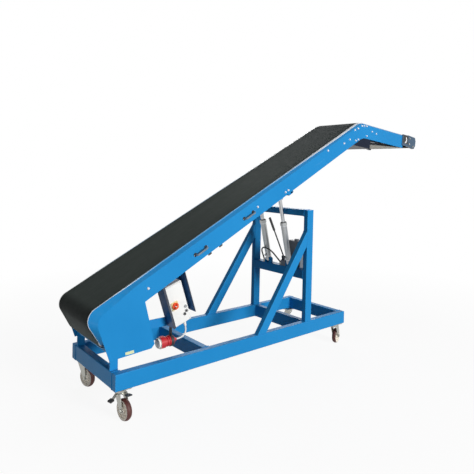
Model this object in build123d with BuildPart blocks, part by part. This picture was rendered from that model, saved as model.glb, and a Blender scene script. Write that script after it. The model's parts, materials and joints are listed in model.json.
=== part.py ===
from build123d import *

import os
from math import asin, atan2, cos, pi, radians, sin, tan

os.makedirs("parts", exist_ok=True)

# Mobile belt conveyor with a raised boom. +X runs up the boom, -Y is the operator's side,
# +Z is up, and the floor is Z = 0. The origin is under the middle of the whole machine.

# Chassis, with insets measured from its low end
chassis_length = 2100.0
chassis_width = 640.0
chassis_clearance = 180.0
rail_height = 100.0
rail_width = 50.0
rail_corner = 6.0
control_cross_inset = 665.0

# Mast
mast_inset = 1636.0
mast_tube_along = 70.0
mast_tube_across = 40.0
mast_height = 1160.0
top_bar_height = 50.0
mid_bar_height = 70.0
mid_bar_top = 682.0
brace_foot_inset = 1137.0
brace_head_drop = 225.0
mast_corner = 4.0

# Casters
wheel_diameter = 125.0
wheel_width = 32.0
tyre_depth = 12.0
tyre_crown = 3.0
hub_length = 40.0
hub_web = 14.0
hub_rim = 5.0
hub_boss_diameter = 34.0
caster_trail = 40.0
caster_inset_along = 60.0
caster_inset_across = 50.0
caster_plate_length = 105.0
caster_plate_width = 85.0
caster_plate_thickness = 6.0
kingpin_diameter = 20.0
swivel_head_diameter = 62.0
swivel_head_height = 18.0
swivel_gap = 1.0
fork_thickness = 3.0
fork_gap = 44.0
fork_eye_radius = 14.0
axle_diameter = 12.0
axle_head_diameter = 20.0
axle_head_height = 6.0
running_clearance = 0.05

# Boom, in its own frame: s along the boom and n square to it, both measured from the pivot
boom_angle = 27.5
pivot_inset = 25.0
pivot_height = 382.0
pivot_pin_diameter = 25.0
pivot_tube_diameter = 50.0
lug_thickness = 10.0
lug_gap = 10.0
lug_width = 50.0
boom_width = 520.0
sheet = 4.0
web_bottom = 150.0
web_height = 121.0
boom_length = 2778.0
nose_drop = 32.3
nose_length = 901.32
knee_under_radius = 160.0
flange_width = 34.0
flange_rise = 17.5
flange_sheet = 3.0
lip_width = 4.0

# Tail housing outline, (s, n) from the pivot
housing_front_foot = (-50.0, -20.0)
housing_front_head = (-22.0, 178.0)
housing_brow = (2.0, 229.0)
housing_shoulder = (60.0, 247.0)
housing_fold_end = (280.0, web_bottom + web_height)
housing_rear_head = (291.0, web_bottom)
housing_rear_foot = (229.0, -122.0)
housing_rear_corner = (200.0, -133.0)
boss_diameter = 60.0
boss_thickness = 6.0
flange_foot_share = 0.42
flange_foot = (-43.0, 80.0)

# Belt and its rollers
belt_width = 440.0
belt_thickness = 4.0
belt_rise = 19.0
belt_seat = 0.3
tail_drum_radius = 73.0
tail_drum_s = 23.0
tail_roller_radius = 38.0
tail_roller_s = -10.0
tail_roller_n = 88.0
return_roller_s = 330.0
nose_roller_radius = 52.0
snub_roller_radius = 24.0
knee_radius = 220.0
return_drop = 85.6
knee_snub_radius = 16.0
knee_snub_s = 2540.0
guard_roller_place = (60.0, -183.0)
roller_length = 440.0
roller_shaft_diameter = 20.0
slider_thickness = 3.0
slider_width = 440.0
slider_start = 110.0
slider_end_gap = 62.0
rib_y = 200.0
tie_along = 60.0
tie_height = 45.0
boom_ties = (500.0, 1150.0, 1850.0, 2500.0)
nose_tie_start = 260.0
nose_tie_gap = 235.0

# Guard under the knee and the bearings at the nose's end, both measured on the nose
guard_end = 162.0
guard_depth = 204.0
guard_lap = 25.0
guard_flange = 22.0
guard_lip = 14.0
guard_sheet = 3.0
nose_web_gap = 196.0
end_plate_thickness = 6.0
end_plate_back = 212.0
end_plate_front = 101.0
end_plate_top = 14.0
end_plate_bottom = -96.0
block_inner_y = 240.0
block_outline = ((-110.0, 18.0), (22.0, 12.0), (38.0, -20.0), (34.0, -70.0), (10.0, -104.0), (-110.0, -94.0))
slot_back = 168.0
slot_v = -35.0
slot_radius = 26.0
slot_width = 11.0
slot_turns = (60.0, -8.0, -76.0)

# Lift cylinders
cylinder_spacing = 240.0
cylinder_foot_inset = 1620.0
cylinder_foot_rise = 28.0
cylinder_head_s = 1700.0
cylinder_head_n = 105.0
barrel_diameter = 48.0
barrel_length = 350.0
barrel_floor = 24.0
barrel_end = 5.0
gland_nut_diameter = 56.0
gland_nut_height = 26.0
port_distance = 48.0
port_diameter = 18.0
port_reach = 14.0
rod_diameter = 30.0
rod_length = 370.0
rod_clearance = 0.3
cylinder_pin_diameter = 16.0
pin_overhang = 4.0
foot_eye_radius = 19.0
head_eye_radius = 22.0
head_neck = 10.0
head_drift = 7.0
head_play = 0.8
eye_width = 30.0
ear_thickness = 10.0
ear_gap = 1.0
ear_half_length = 20.0
ear_sink = 2.0
neck_strip = 4.0
lift_beam_along = 50.0
lift_beam_bottom = 134.0
lift_beam_top = 178.0

# Handles on both webs, each a bow between two feet
handle_places = (774.0, 1245.0)
handle_n = 205.0
handle_span = 120.0
handle_standoff = 34.0
handle_grip_diameter = 14.0
handle_foot_diameter = 26.0
handle_foot_thickness = 5.0
handle_bend = 22.0

# Control station
control_lean = 18.5
control_s = 523.0
channel_width = 182.0
channel_depth = 90.0
channel_sheet = 4.0
channel_top = 28.0
channel_bottom = -289.0
channel_lip = 14.0
channel_brace_start = 252.0
channel_brace_end = 440.0
channel_brace_bottom = 442.0
channel_brace_top = 500.0
box_shift = -9.0
box_width = 146.0
box_height = 280.0
box_setback = 30.0
box_bottom = -320.0
box_corner = 8.0
box_bevel = 7.0
switch_place = (-31.0, -177.0)
switch_plate = 52.0
switch_corner = 4.0
switch_turn = 45.0
switch_plate_depth = 6.0
switch_collar_diameter = 44.0
switch_collar_depth = 8.0
switch_knob_diameter = 36.0
switch_grip_width = 12.0
switch_depth = 24.0
button_places = ((42.0, -217.0), (40.0, -247.0), (22.0, -262.0))
button_diameter = 16.0
button_depth = 9.0
bezel_diameter = 22.0
bezel_depth = 4.0

# Hand pump on the middle bar and the tank behind it
pump_y = -57.0
pump_length = 56.0
pump_width = 52.0
pump_height = 46.0
pump_inset = 1632.0
tank_y = -117.0
tank_length = 64.0
tank_width = 140.0
tank_bottom = 640.0
tank_height = 250.0
tank_corner = 14.0
cap_diameter = 36.0
cap_height = 14.0
clevis_gap = 1.0
clevis_sheet = 5.0
clevis_height = 30.0
clevis_along = 30.0
pump_bevel = 3.0
lever_foot_inset = 1628.0
lever_length = 400.0
lever_lean = 27.5
lever_diameter = 16.0
lever_grip_length = 120.0
lever_grip_diameter = 26.0

# Hydraulic hose from the far fitting on the middle bar, over to the pump's fitting
hose_diameter = 12.0
fitting_diameter = 20.0
fitting_height = 20.0
hose_start = (1612.0, 168.0)
hose_end = (1630.0, -8.0)
hose_crest = ((1556.0, 162.0, 815.0), (1545.0, 36.0, 815.0))

# Power lead from the box's bottom to its plug, which a clip holds under the channel
lead_diameter = 11.0
lead_y = -207.0
gland_place = 15.0
gland_diameter = 20.0
gland_length = 12.0
gland_taper = 18.0
gland_taper_end = 14.0
gland_taper_start = 18.0
plug_body_diameter = 66.0
plug_body_length = 66.0
plug_collar_diameter = 74.0
plug_collar_length = 36.0
plug_cap_diameter = 60.0
plug_cap_length = 12.0
plug_boot_tip = 18.0
plug_grooves = 3
plug_groove_depth = 4.0
plug_groove_width = 7.0
plug_groove_pitch = 15.0
plug_bevel = 4.0
plug_boot_diameter = 26.0
plug_boot_length = 24.0
clip_thickness = 3.0
clip_width = 20.0
clip_seat = 0.3
clip_tab_width = 30.0

# Gear motor in the tail housing, on a plate between the webs
motor_s = 165.0
motor_n = 6.0
motor_diameter = 120.0
motor_length = 250.0
motor_y = 60.0
gearbox_width = 110.0
gearbox_length = 120.0
motor_plate_thickness = 6.0
motor_plate_along = 120.0

# Brake pedal of the caster under the low end's right corner
pedal_length = 62.0
pedal_width = 30.0
pedal_thickness = 4.0
pedal_rise = 8.0


def along(inset):
    """X of a place measured from the chassis's low end."""
    return chassis_x + inset


def boom_point(s, n):
    """Chassis inset and height of a boom place."""
    a = radians(boom_angle)
    return (pivot_inset + s * cos(a) - n * sin(a), pivot_height + s * sin(a) + n * cos(a))


def nose_point(u, v):
    """Boom (s, n) of a place on the nose: u along it and v above its fold line."""
    d = radians(nose_drop)
    fold = web_bottom + web_height
    return (boom_length + u * cos(d) + v * sin(d), fold - u * sin(d) + v * cos(d))


def knee_offset(v):
    """Boom (s, n) on the knee's bisector at v above the fold line."""
    return (boom_length + v * tan(radians(nose_drop / 2)), web_bottom + web_height + v)


cylinder_foot_height = mid_bar_top + cylinder_foot_rise
belt_top_n = web_bottom + web_height + belt_rise
tail_drum_n = belt_top_n - belt_thickness - belt_seat - tail_drum_radius
nose_roller_v = belt_rise - belt_thickness - belt_seat - nose_roller_radius
return_n = web_bottom + web_height - return_drop
tail_wrap = tail_drum_radius + belt_seat + belt_thickness
nose_wrap = nose_roller_radius + belt_seat + belt_thickness
slider_v = belt_rise - belt_thickness - belt_seat
knee_centre = knee_offset(slider_v - knee_radius)
fold_radius = knee_radius - slider_v
under_centre = knee_offset(-web_height - knee_under_radius)
lip_n = web_bottom + web_height + flange_rise
nose_web_end = nose_length - nose_web_gap
low_reach = boom_point(tail_drum_s, tail_drum_n)[0] - tail_wrap
high_reach = boom_point(*nose_point(nose_length, nose_roller_v))[0] + nose_wrap
chassis_x = -(low_reach + high_reach) / 2
pivot_x = along(pivot_inset)
rail_top = chassis_clearance + rail_height
rail_y = chassis_width / 2 - rail_width / 2
web_outer = boom_width / 2
web_inner = web_outer - sheet
side_names = {-1: "right", 1: "left"}


def boom_plane(y):
    """Sketch plane of the boom: local x is s, local y is n, and the normal is -Y."""
    a = radians(boom_angle)
    return Plane(origin=(pivot_x, y, pivot_height), x_dir=(cos(a), 0, sin(a)), z_dir=(0, -1, 0))


def boom_place(s, n, y):
    """A boom place in this model's frame."""
    inset, height = boom_point(s, n)
    return Vector(along(inset), y, height)


def knee_arc(centre, radius, shares):
    """Three boom places on an arc round a knee centre: share 0 is on the boom, 1 on the bisector, 2 on the nose."""
    places = []
    for share in shares:
        turn = share * radians(nose_drop / 2)
        places.append((centre[0] + radius * sin(turn), centre[1] + radius * cos(turn)))
    return places


def chassis_plane(y):
    """Upright sketch plane: local x is X, local y is Z, and the normal is -Y."""
    return Plane(origin=(0, y, 0), x_dir=(1, 0, 0), z_dir=(0, -1, 0))


def write(part, name):
    part.label = name
    export_step(part, f"parts/{name}.step")


# Chassis side rails
for side, side_name in side_names.items():
    with BuildPart() as rail:
        with BuildSketch(Plane.YZ.offset(along(0))):
            with Locations((side * rail_y, chassis_clearance + rail_height / 2)):
                RectangleRounded(rail_width, rail_height, rail_corner)
        extrude(amount=chassis_length)
    write(rail.part, f"chassis_rail_{side_name}")

# Cross-members between the rails
cross_length = chassis_width - 2 * rail_width
cross_insets = (rail_width / 2, control_cross_inset, mast_inset, chassis_length - rail_width / 2)
with BuildPart() as cross_members:
    for inset in cross_insets:
        with BuildSketch(chassis_plane(cross_length / 2)):
            with Locations((along(inset), chassis_clearance + rail_height / 2)):
                RectangleRounded(rail_width, rail_height, rail_corner)
        extrude(amount=cross_length)
write(cross_members.part, "cross_members")

# Mast posts
mast_x = along(mast_inset)
post_y = chassis_width / 2 - mast_tube_across / 2
for side, side_name in side_names.items():
    with BuildPart() as post:
        with BuildSketch(Plane.XY.offset(rail_top)):
            with Locations((mast_x, side * post_y)):
                RectangleRounded(mast_tube_along, mast_tube_across, mast_corner)
        extrude(amount=mast_height - rail_top)
    write(post.part, f"mast_post_{side_name}")

# Braces from the rails up to the posts
post_face_x = mast_x - mast_tube_along / 2
brace_head_z = mast_height - brace_head_drop
brace_foot_x = along(brace_foot_inset)
brace_run = post_face_x - brace_foot_x
brace_rise = brace_head_z - rail_top
brace_length = (brace_run**2 + brace_rise**2) ** 0.5
brace_over = mast_tube_along * 2
for side, side_name in side_names.items():
    slope = Vector(brace_run / brace_length, 0, brace_rise / brace_length)
    with BuildPart() as brace:
        with BuildSketch(Plane(origin=(brace_foot_x, side * post_y, rail_top), x_dir=(0, 1, 0), z_dir=slope)):
            RectangleRounded(mast_tube_across, mast_tube_along, mast_corner)
        extrude(amount=brace_length + brace_over)
        extrude(brace.faces().sort_by(Axis.Z)[0], amount=brace_over)
        split(bisect_by=Plane.XY.offset(rail_top), keep=Keep.TOP)
        split(bisect_by=Plane.YZ.offset(post_face_x), keep=Keep.BOTTOM)
    write(brace.part, f"mast_brace_{side_name}")

# Mast top bar
bar_length = chassis_width - 2 * mast_tube_across
with BuildPart() as mast_top_bar:
    with BuildSketch(chassis_plane(bar_length / 2)):
        with Locations((mast_x, mast_height - top_bar_height / 2)):
            RectangleRounded(mast_tube_along, top_bar_height, mast_corner)
    extrude(amount=bar_length)
write(mast_top_bar.part, "mast_top_bar")

# Mast middle bar with the ears of the cylinder feet
foot_x = along(cylinder_foot_inset)
ear_y = eye_width / 2 + ear_gap + ear_thickness / 2
with BuildPart() as mast_mid_bar:
    with BuildSketch(chassis_plane(bar_length / 2)):
        with Locations((mast_x, mid_bar_top - mid_bar_height / 2)):
            RectangleRounded(mast_tube_along, mid_bar_height, mast_corner)
    extrude(amount=bar_length)
    for side in side_names:
        for ear in (-1, 1):
            y = side * cylinder_spacing / 2 + ear * ear_y
            with BuildSketch(chassis_plane(y + ear_thickness / 2)):
                with Locations((foot_x, cylinder_foot_height)):
                    Circle(ear_half_length)
                with Locations((foot_x, cylinder_foot_height - (cylinder_foot_rise + ear_sink) / 2)):
                    Rectangle(2 * ear_half_length, cylinder_foot_rise + ear_sink)
            extrude(amount=ear_thickness)
        pin_length = eye_width + 2 * (ear_gap + ear_thickness + pin_overhang)
        with BuildSketch(chassis_plane(side * cylinder_spacing / 2 + pin_length / 2)):
            with Locations((foot_x, cylinder_foot_height)):
                Circle(cylinder_pin_diameter / 2)
        extrude(amount=pin_length)
write(mast_mid_bar.part, "mast_mid_bar")

# Pivot lugs on the low cross-member, with the tube and pin that the boom turns on
lug_outer = web_inner - boss_thickness - lug_gap / 2
with BuildPart() as pivot_lugs:
    for side in side_names:
        y = side * (lug_outer - lug_thickness / 2)
        with BuildSketch(chassis_plane(y + lug_thickness / 2)):
            with Locations((pivot_x, pivot_height)):
                Circle(lug_width / 2)
            with Locations((pivot_x, (rail_top + pivot_height) / 2)):
                Rectangle(lug_width, pivot_height - rail_top)
            with Locations((pivot_x, pivot_height)):
                Circle(pivot_pin_diameter / 2, mode=Mode.SUBTRACT)
        extrude(amount=lug_thickness)
    tube_length = 2 * (lug_outer - lug_thickness)
    with BuildSketch(chassis_plane(tube_length / 2)):
        with Locations((pivot_x, pivot_height)):
            Circle(pivot_tube_diameter / 2)
            Circle(pivot_pin_diameter / 2, mode=Mode.SUBTRACT)
    extrude(amount=tube_length)
write(pivot_lugs.part, "pivot_lugs")

with BuildPart() as pivot_pin:
    with BuildSketch(chassis_plane(web_outer)):
        with Locations((pivot_x, pivot_height)):
            Circle(pivot_pin_diameter / 2)
    extrude(amount=2 * web_outer)
write(pivot_pin.part, "pivot_pin")

# Casters: heading is the way the trail points, in degrees from +X
casters = {
    "low_right": (-1, -1, 275.0),
    "low_left": (-1, 1, 285.0),
    "high_right": (1, -1, 20.0),
    "high_left": (1, 1, 120.0),
}
braked_casters = ("low_right",)
axle_z = wheel_diameter / 2
plate_bottom = chassis_clearance - caster_plate_thickness
head_top = plate_bottom - swivel_gap
head_bottom = head_top - swivel_head_height


def caster_place(end, side):
    inset = caster_inset_along if end < 0 else chassis_length - caster_inset_along
    return along(inset), side * (chassis_width / 2 - caster_inset_across)


with BuildPart() as caster_top_plates:
    for end, side, heading in casters.values():
        x, y = caster_place(end, side)
        with BuildSketch(Plane.XY.offset(plate_bottom)):
            with Locations((x, y)):
                RectangleRounded(caster_plate_length, caster_plate_width, rail_corner)
        extrude(amount=caster_plate_thickness)
        with BuildSketch(Plane.XY.offset(head_bottom)):
            with Locations((x, y)):
                Circle(kingpin_diameter / 2)
        extrude(amount=plate_bottom - head_bottom)
write(caster_top_plates.part, "caster_top_plates")

for name, (end, side, heading) in casters.items():
    x, y = caster_place(end, side)
    turn = radians(heading)
    forward = Vector(cos(turn), sin(turn), 0)
    across = Vector(sin(turn), -cos(turn), 0)

    def wheel_plane(offset):
        """Sketch plane square to the axle: local x is the trail, local y is Z."""
        return Plane(origin=Vector(x, y, 0) + across * offset, x_dir=forward, z_dir=across)

    with BuildPart() as fork:
        with BuildSketch(Plane.XY.offset(head_bottom)):
            with Locations((x, y)):
                Circle(swivel_head_diameter / 2)
                Circle(kingpin_diameter / 2 + running_clearance, mode=Mode.SUBTRACT)
        extrude(amount=swivel_head_height)
        with BuildSketch(Plane(origin=(x, y, head_bottom), x_dir=forward, z_dir=(0, 0, 1))):
            Rectangle(swivel_head_diameter, fork_gap + 2 * fork_thickness)
        extrude(amount=-fork_thickness)
        for leg in (-1, 1):
            leg_face = leg * (fork_gap / 2 + fork_thickness / 2) - fork_thickness / 2
            with BuildSketch(wheel_plane(leg_face)):
                with Locations((0, head_bottom - fork_thickness / 2)):
                    Rectangle(swivel_head_diameter, fork_thickness)
                with Locations((caster_trail, axle_z)):
                    Circle(fork_eye_radius)
                make_hull()
            extrude(amount=fork_thickness)
        axle_reach = fork_gap / 2 + fork_thickness + axle_head_height
        with BuildSketch(wheel_plane(-axle_reach)):
            with Locations((caster_trail, axle_z)):
                Circle(axle_diameter / 2)
        extrude(amount=2 * axle_reach)
        for cap in (-axle_reach, axle_reach - axle_head_height):
            with BuildSketch(wheel_plane(cap)):
                with Locations((caster_trail, axle_z)):
                    RegularPolygon(axle_head_diameter / 2, 6)
            extrude(amount=axle_head_height)
        if name in braked_casters:
            with BuildSketch(wheel_plane(-pedal_width / 2)):
                with BuildLine():
                    Polyline(
                        (swivel_head_diameter / 2, head_bottom),
                        (swivel_head_diameter / 2, head_bottom - fork_thickness),
                        (swivel_head_diameter / 2 + pedal_length, head_bottom + pedal_rise - pedal_thickness),
                        (swivel_head_diameter / 2 + pedal_length, head_bottom + pedal_rise),
                        close=True,
                    )
                make_face()
            extrude(amount=pedal_width)
    write(fork.part, f"caster_fork_{name}")

    rim_radius = wheel_diameter / 2 - tyre_depth
    profile_plane = Plane(
        origin=Vector(x, y, 0) + forward * caster_trail + Vector(0, 0, axle_z),
        x_dir=across,
        z_dir=forward,
    )
    with BuildPart() as hub:
        with BuildSketch(profile_plane):
            bore = axle_diameter / 2 + running_clearance
            with BuildLine():
                Polyline(
                    (0, bore),
                    (hub_length / 2, bore),
                    (hub_length / 2, hub_boss_diameter / 2),
                    (hub_web / 2, hub_boss_diameter / 2 + 3),
                    (hub_web / 2, rim_radius - hub_rim - 2),
                    (wheel_width / 2 - 2, rim_radius - hub_rim),
                    (wheel_width / 2 - 2, rim_radius),
                    (0, rim_radius),
                    close=True,
                )
            make_face()
            mirror(about=Plane.YZ)
        revolve(axis=Axis(profile_plane.origin, across))
    write(hub.part, f"caster_hub_{name}")

    with BuildPart() as tyre:
        with BuildSketch(profile_plane):
            with BuildLine():
                outer = wheel_diameter / 2
                shoulder = (wheel_width / 2, outer - 2 * tyre_crown)
                Polyline((0, outer), (0, rim_radius), (wheel_width / 2, rim_radius), shoulder)
                ThreePointArc(shoulder, (wheel_width / 4, outer - tyre_crown / 2), (0, outer))
            make_face()
            mirror(about=Plane.YZ)
        revolve(axis=Axis(profile_plane.origin, across))
    write(tyre.part, f"caster_tyre_{name}")

# Boom side frames: a sheet web that deepens into the tail housing
foot_share = Vector(*housing_front_foot) * flange_foot_share
flange_start = Vector(*housing_front_head) * (1 - flange_foot_share) + foot_share


def web_outline():
    """Outline of a side web from the tail housing to the middle of the knee."""
    top = knee_arc(knee_centre, fold_radius, (0, 0.5, 1))
    under = knee_arc(under_centre, knee_under_radius, (1, 0.5, 0))
    Polyline(
        under[2],
        housing_rear_head,
        housing_rear_foot,
        housing_rear_corner,
        housing_front_foot,
        housing_front_head,
    )
    ThreePointArc(housing_front_head, housing_brow, housing_shoulder)
    Polyline(housing_shoulder, housing_fold_end, top[0])
    ThreePointArc(*top)
    Line(top[2], under[0])
    ThreePointArc(*under)


def tail_fold(inset):
    """The flange's outer edge round the tail, along the web's fold and moved inwards by the inset."""
    lean = inset * cos(pi / 4)
    start = (flange_start.X + inset, flange_start.Y)
    head = (housing_front_head[0] + inset, housing_front_head[1])
    brow = (housing_brow[0] + lean, housing_brow[1] - lean)
    shoulder = (housing_shoulder[0], housing_shoulder[1] - inset)
    end = (housing_fold_end[0], housing_fold_end[1] - inset)
    Line(start, head)
    ThreePointArc(head, brow, shoulder)
    Line(shoulder, end)
    return start, end


def tail_lip(inset):
    """The flange's inner edge round the tail drum."""
    reach = lip_n - tail_drum_n - inset
    lean = reach * cos(pi / 4)
    start = (flange_foot[0] + inset, flange_foot[1])
    front = (tail_drum_s - reach, tail_drum_n)
    crest = (tail_drum_s, tail_drum_n + reach)
    end = (housing_fold_end[0], tail_drum_n + reach)
    Line(start, front)
    ThreePointArc(front, (tail_drum_s - lean, tail_drum_n + lean), crest)
    Line(crest, end)
    return start, end


def boom_run(inset):
    """The fold, or the lip above it at a negative inset, from the housing to the middle of the knee."""
    start = (housing_fold_end[0], housing_fold_end[1] - inset)
    top = knee_arc(knee_centre, fold_radius - inset, (0, 0.5, 1))
    Line(start, top[0])
    ThreePointArc(*top)
    return start, top[2]


def nose_run(inset):
    """The same from the middle of the knee to the end of the nose's web."""
    top = knee_arc(knee_centre, fold_radius - inset, (1, 1.5, 2))
    end = nose_point(nose_web_end, -inset)
    ThreePointArc(*top)
    Line(top[2], end)
    return top[0], end


def flange(side, *lines):
    """A strip lofted from the fold up to the belt's edge, with an upright lip there."""
    sections = []
    for y, (line, shift) in zip((web_outer, web_outer - flange_width), lines):
        with BuildSketch(boom_plane(side * y)) as section:
            with BuildLine():
                upper_ends = line(shift)
                lower_ends = line(shift + flange_sheet)
                Line(upper_ends[0], lower_ends[0])
                Line(upper_ends[1], lower_ends[1])
            make_face()
        sections.append(section.sketch.face())
    loft(sections, ruled=True)
    extrude(sections[1], amount=side * lip_width)


for side, side_name in side_names.items():
    outer_face = web_outer if side > 0 else -web_inner
    with BuildPart() as side_frame:
        with BuildSketch(boom_plane(outer_face)):
            with BuildLine():
                web_outline()
            make_face()
            Circle(pivot_pin_diameter / 2 + running_clearance, mode=Mode.SUBTRACT)
        extrude(amount=sheet)
        with BuildSketch(boom_plane(side * web_inner)):
            Circle(boss_diameter / 2)
            Circle(pivot_pin_diameter / 2 + running_clearance, mode=Mode.SUBTRACT)
        extrude(amount=side * boss_thickness)
        flange(side, (tail_fold, 0), (tail_lip, 0))
        flange(side, (boom_run, 0), (boom_run, -flange_rise))
    write(side_frame.part, f"side_frame_{side_name}")


# Nose frames, from the middle of the knee on
def nose_web_outline():
    top = knee_arc(knee_centre, fold_radius, (1, 1.5, 2))
    under = knee_arc(under_centre, knee_under_radius, (2, 1.5, 1))
    ThreePointArc(*top)
    Polyline(top[2], nose_point(nose_web_end, 0), nose_point(nose_web_end, -web_height), under[0])
    ThreePointArc(*under)
    Line(under[2], top[0])


for side, side_name in side_names.items():
    outer_face = web_outer if side > 0 else -web_inner
    with BuildPart() as nose_frame:
        with BuildSketch(boom_plane(outer_face)):
            with BuildLine():
                nose_web_outline()
            make_face()
        extrude(amount=sheet)
        flange(side, (nose_run, 0), (nose_run, -flange_rise))
    write(nose_frame.part, f"nose_frame_{side_name}")

# Bearings at the nose's end, each a plate with a curved slot and a block that holds the roller's shaft
plate_corners = (
    (-end_plate_back, end_plate_top),
    (-end_plate_front, end_plate_top),
    (-end_plate_front, end_plate_bottom),
    (-end_plate_back, end_plate_bottom),
)
slot_places = []
for turn in slot_turns:
    u = nose_length - slot_back + slot_radius * cos(radians(turn))
    slot_places.append(nose_point(u, slot_v + slot_radius * sin(radians(turn))))
bearing_outer = web_outer + end_plate_thickness
block_thickness = bearing_outer - block_inner_y
with BuildPart() as nose_bearings:
    for side in side_names:
        with BuildSketch(boom_plane(bearing_outer if side > 0 else -web_outer)):
            with BuildLine():
                Polyline(*[nose_point(nose_length + u, v) for u, v in plate_corners], close=True)
            make_face()
            SlotArc(ThreePointArc(*slot_places, mode=Mode.PRIVATE), slot_width, mode=Mode.SUBTRACT)
        extrude(amount=end_plate_thickness)
        with BuildSketch(boom_plane(bearing_outer if side > 0 else -block_inner_y)):
            with BuildLine():
                Polyline(*[nose_point(nose_length + u, v) for u, v in block_outline], close=True)
            make_face()
        extrude(amount=block_thickness)
write(nose_bearings.part, "nose_bearings")

# Guard under the knee, open towards the nose above its bottom lip
drop = radians(nose_drop)
guard_start = (web_height - guard_depth * cos(drop)) / sin(drop)
guard_corner = nose_point(guard_start, -guard_depth)
guard_lap_place = knee_arc(under_centre, knee_under_radius + guard_lap, (1,))[0]
guard_inner = web_inner - sheet
with BuildPart() as knee_guard:
    for side in side_names:
        with BuildSketch(boom_plane(web_inner if side > 0 else -guard_inner)):
            with BuildLine():
                Polyline(
                    guard_corner,
                    nose_point(guard_end, -guard_depth),
                    nose_point(guard_end, guard_lap - web_height),
                    guard_lap_place,
                    (guard_corner[0], web_bottom + guard_lap),
                    close=True,
                )
            make_face()
        extrude(amount=sheet)
        with BuildSketch(boom_plane(guard_inner if side > 0 else guard_flange - guard_inner)):
            with BuildLine():
                Polyline(
                    nose_point(guard_end, -guard_depth),
                    nose_point(guard_end, -web_height),
                    nose_point(guard_end - guard_sheet, -web_height),
                    nose_point(guard_end - guard_sheet, -guard_depth),
                    close=True,
                )
            make_face()
        extrude(amount=guard_flange)
    with BuildSketch(boom_plane(guard_inner)):
        with BuildLine():
            Polyline(
                guard_corner,
                nose_point(guard_end, -guard_depth),
                nose_point(guard_end, guard_lip - guard_depth),
                nose_point(guard_end - guard_sheet, guard_lip - guard_depth),
                nose_point(guard_end - guard_sheet, guard_sheet - guard_depth),
                nose_point(guard_start, guard_sheet - guard_depth),
                close=True,
            )
        make_face()
    extrude(amount=2 * guard_inner)
write(knee_guard.part, "knee_guard")

# Rollers and the slider bed between the webs
def roller(name, radius, *places):
    """Rollers of one radius, each at (s, n) with a shaft that reaches out to the y given."""
    with BuildPart() as body:
        for s, n, reach in places:
            with BuildSketch(boom_plane(roller_length / 2)):
                with Locations((s, n)):
                    Circle(radius)
            extrude(amount=roller_length)
            with BuildSketch(boom_plane(reach)):
                with Locations((s, n)):
                    Circle(roller_shaft_diameter / 2)
            extrude(amount=2 * reach)
    write(body.part, name)


return_roller_n = return_n - belt_seat - snub_roller_radius
knee_snub_place = (knee_snub_s, return_n - belt_seat - knee_snub_radius)
guard_roller = nose_point(*guard_roller_place)
nose_roller_place = nose_point(nose_length, nose_roller_v)
roller("tail_drum", tail_drum_radius, (tail_drum_s, tail_drum_n, web_inner))
roller("tail_roller", tail_roller_radius, (tail_roller_s, tail_roller_n, web_inner))
roller("return_roller", snub_roller_radius, (return_roller_s, return_roller_n, web_inner))
roller("knee_snub_roller", knee_snub_radius, (*knee_snub_place, web_inner), (*guard_roller, guard_inner))
roller("nose_roller", nose_roller_radius, (*nose_roller_place, block_inner_y))

# Belt loop, clockwise: s, n, radius of the belt's inner face, and whether it is inside the loop
belt_turns = (
    (tail_drum_s, tail_drum_n, tail_drum_radius + belt_seat, True),
    (*knee_centre, knee_radius + belt_seat, True),
    (*nose_roller_place, nose_roller_radius + belt_seat, True),
    (*guard_roller, knee_snub_radius + belt_seat, False),
    (*knee_snub_place, knee_snub_radius + belt_seat, False),
    (return_roller_s, return_roller_n, snub_roller_radius + belt_seat, False),
    (tail_roller_s, tail_roller_n, tail_roller_radius + belt_seat, True),
)


def heading_between(first, second):
    """Direction of the belt's straight run from one turn to the next, in radians."""
    signed = [radius if inside else -radius for _, _, radius, inside in (first, second)]
    reach = Vector(second[0] - first[0], second[1] - first[1])
    return atan2(reach.Y, reach.X) - asin((signed[0] - signed[1]) / reach.length)


def belt_outline(outward):
    """Lines and arcs of one face of the belt, moved outward from its inner face."""
    turns = []
    for s, n, radius, inside in belt_turns:
        turns.append((s, n, radius + (outward if inside else belt_thickness - outward), inside))
    count = len(turns)
    headings = [heading_between(turns[i], turns[(i + 1) % count]) for i in range(count)]

    def rim(turn, heading):
        s, n, radius, inside = turn
        reach = radius if inside else -radius
        return (s - reach * sin(heading), n + reach * cos(heading))

    for i, turn in enumerate(turns):
        arrive = headings[i - 1]
        leave = headings[i]
        bend = (arrive - leave) % (2 * pi) if turn[3] else -((leave - arrive) % (2 * pi))
        ThreePointArc(rim(turn, arrive), rim(turn, arrive - bend / 2), rim(turn, leave))
        Line(rim(turn, leave), rim(turns[(i + 1) % count], leave))


with BuildPart() as belt:
    with BuildSketch(boom_plane(belt_width / 2)):
        with BuildLine():
            belt_outline(belt_thickness)
        make_face()
        with BuildLine():
            belt_outline(0)
        make_face(mode=Mode.SUBTRACT)
    extrude(amount=belt_width)
write(belt.part, "belt")


def knee_strip(top, thickness, start, end):
    """Outline of a strip that follows the boom, the knee arc and the nose."""
    rise = web_bottom + web_height
    half = radians(nose_drop / 2)
    centre = knee_offset(top - knee_radius)
    faces = []
    for radius in (knee_radius, knee_radius - thickness):
        v = top - knee_radius + radius
        arc = [
            (centre[0] + radius * sin(turn * half), centre[1] + radius * cos(turn * half))
            for turn in (0, 1, 2)
        ]
        faces.append(((start, rise + v), arc, nose_point(end, v)))
    for first, arc, last in faces:
        Line(first, arc[0])
        ThreePointArc(*arc)
        Line(arc[2], last)
    Line(faces[0][0], faces[1][0])
    Line(faces[0][2], faces[1][2])


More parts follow.
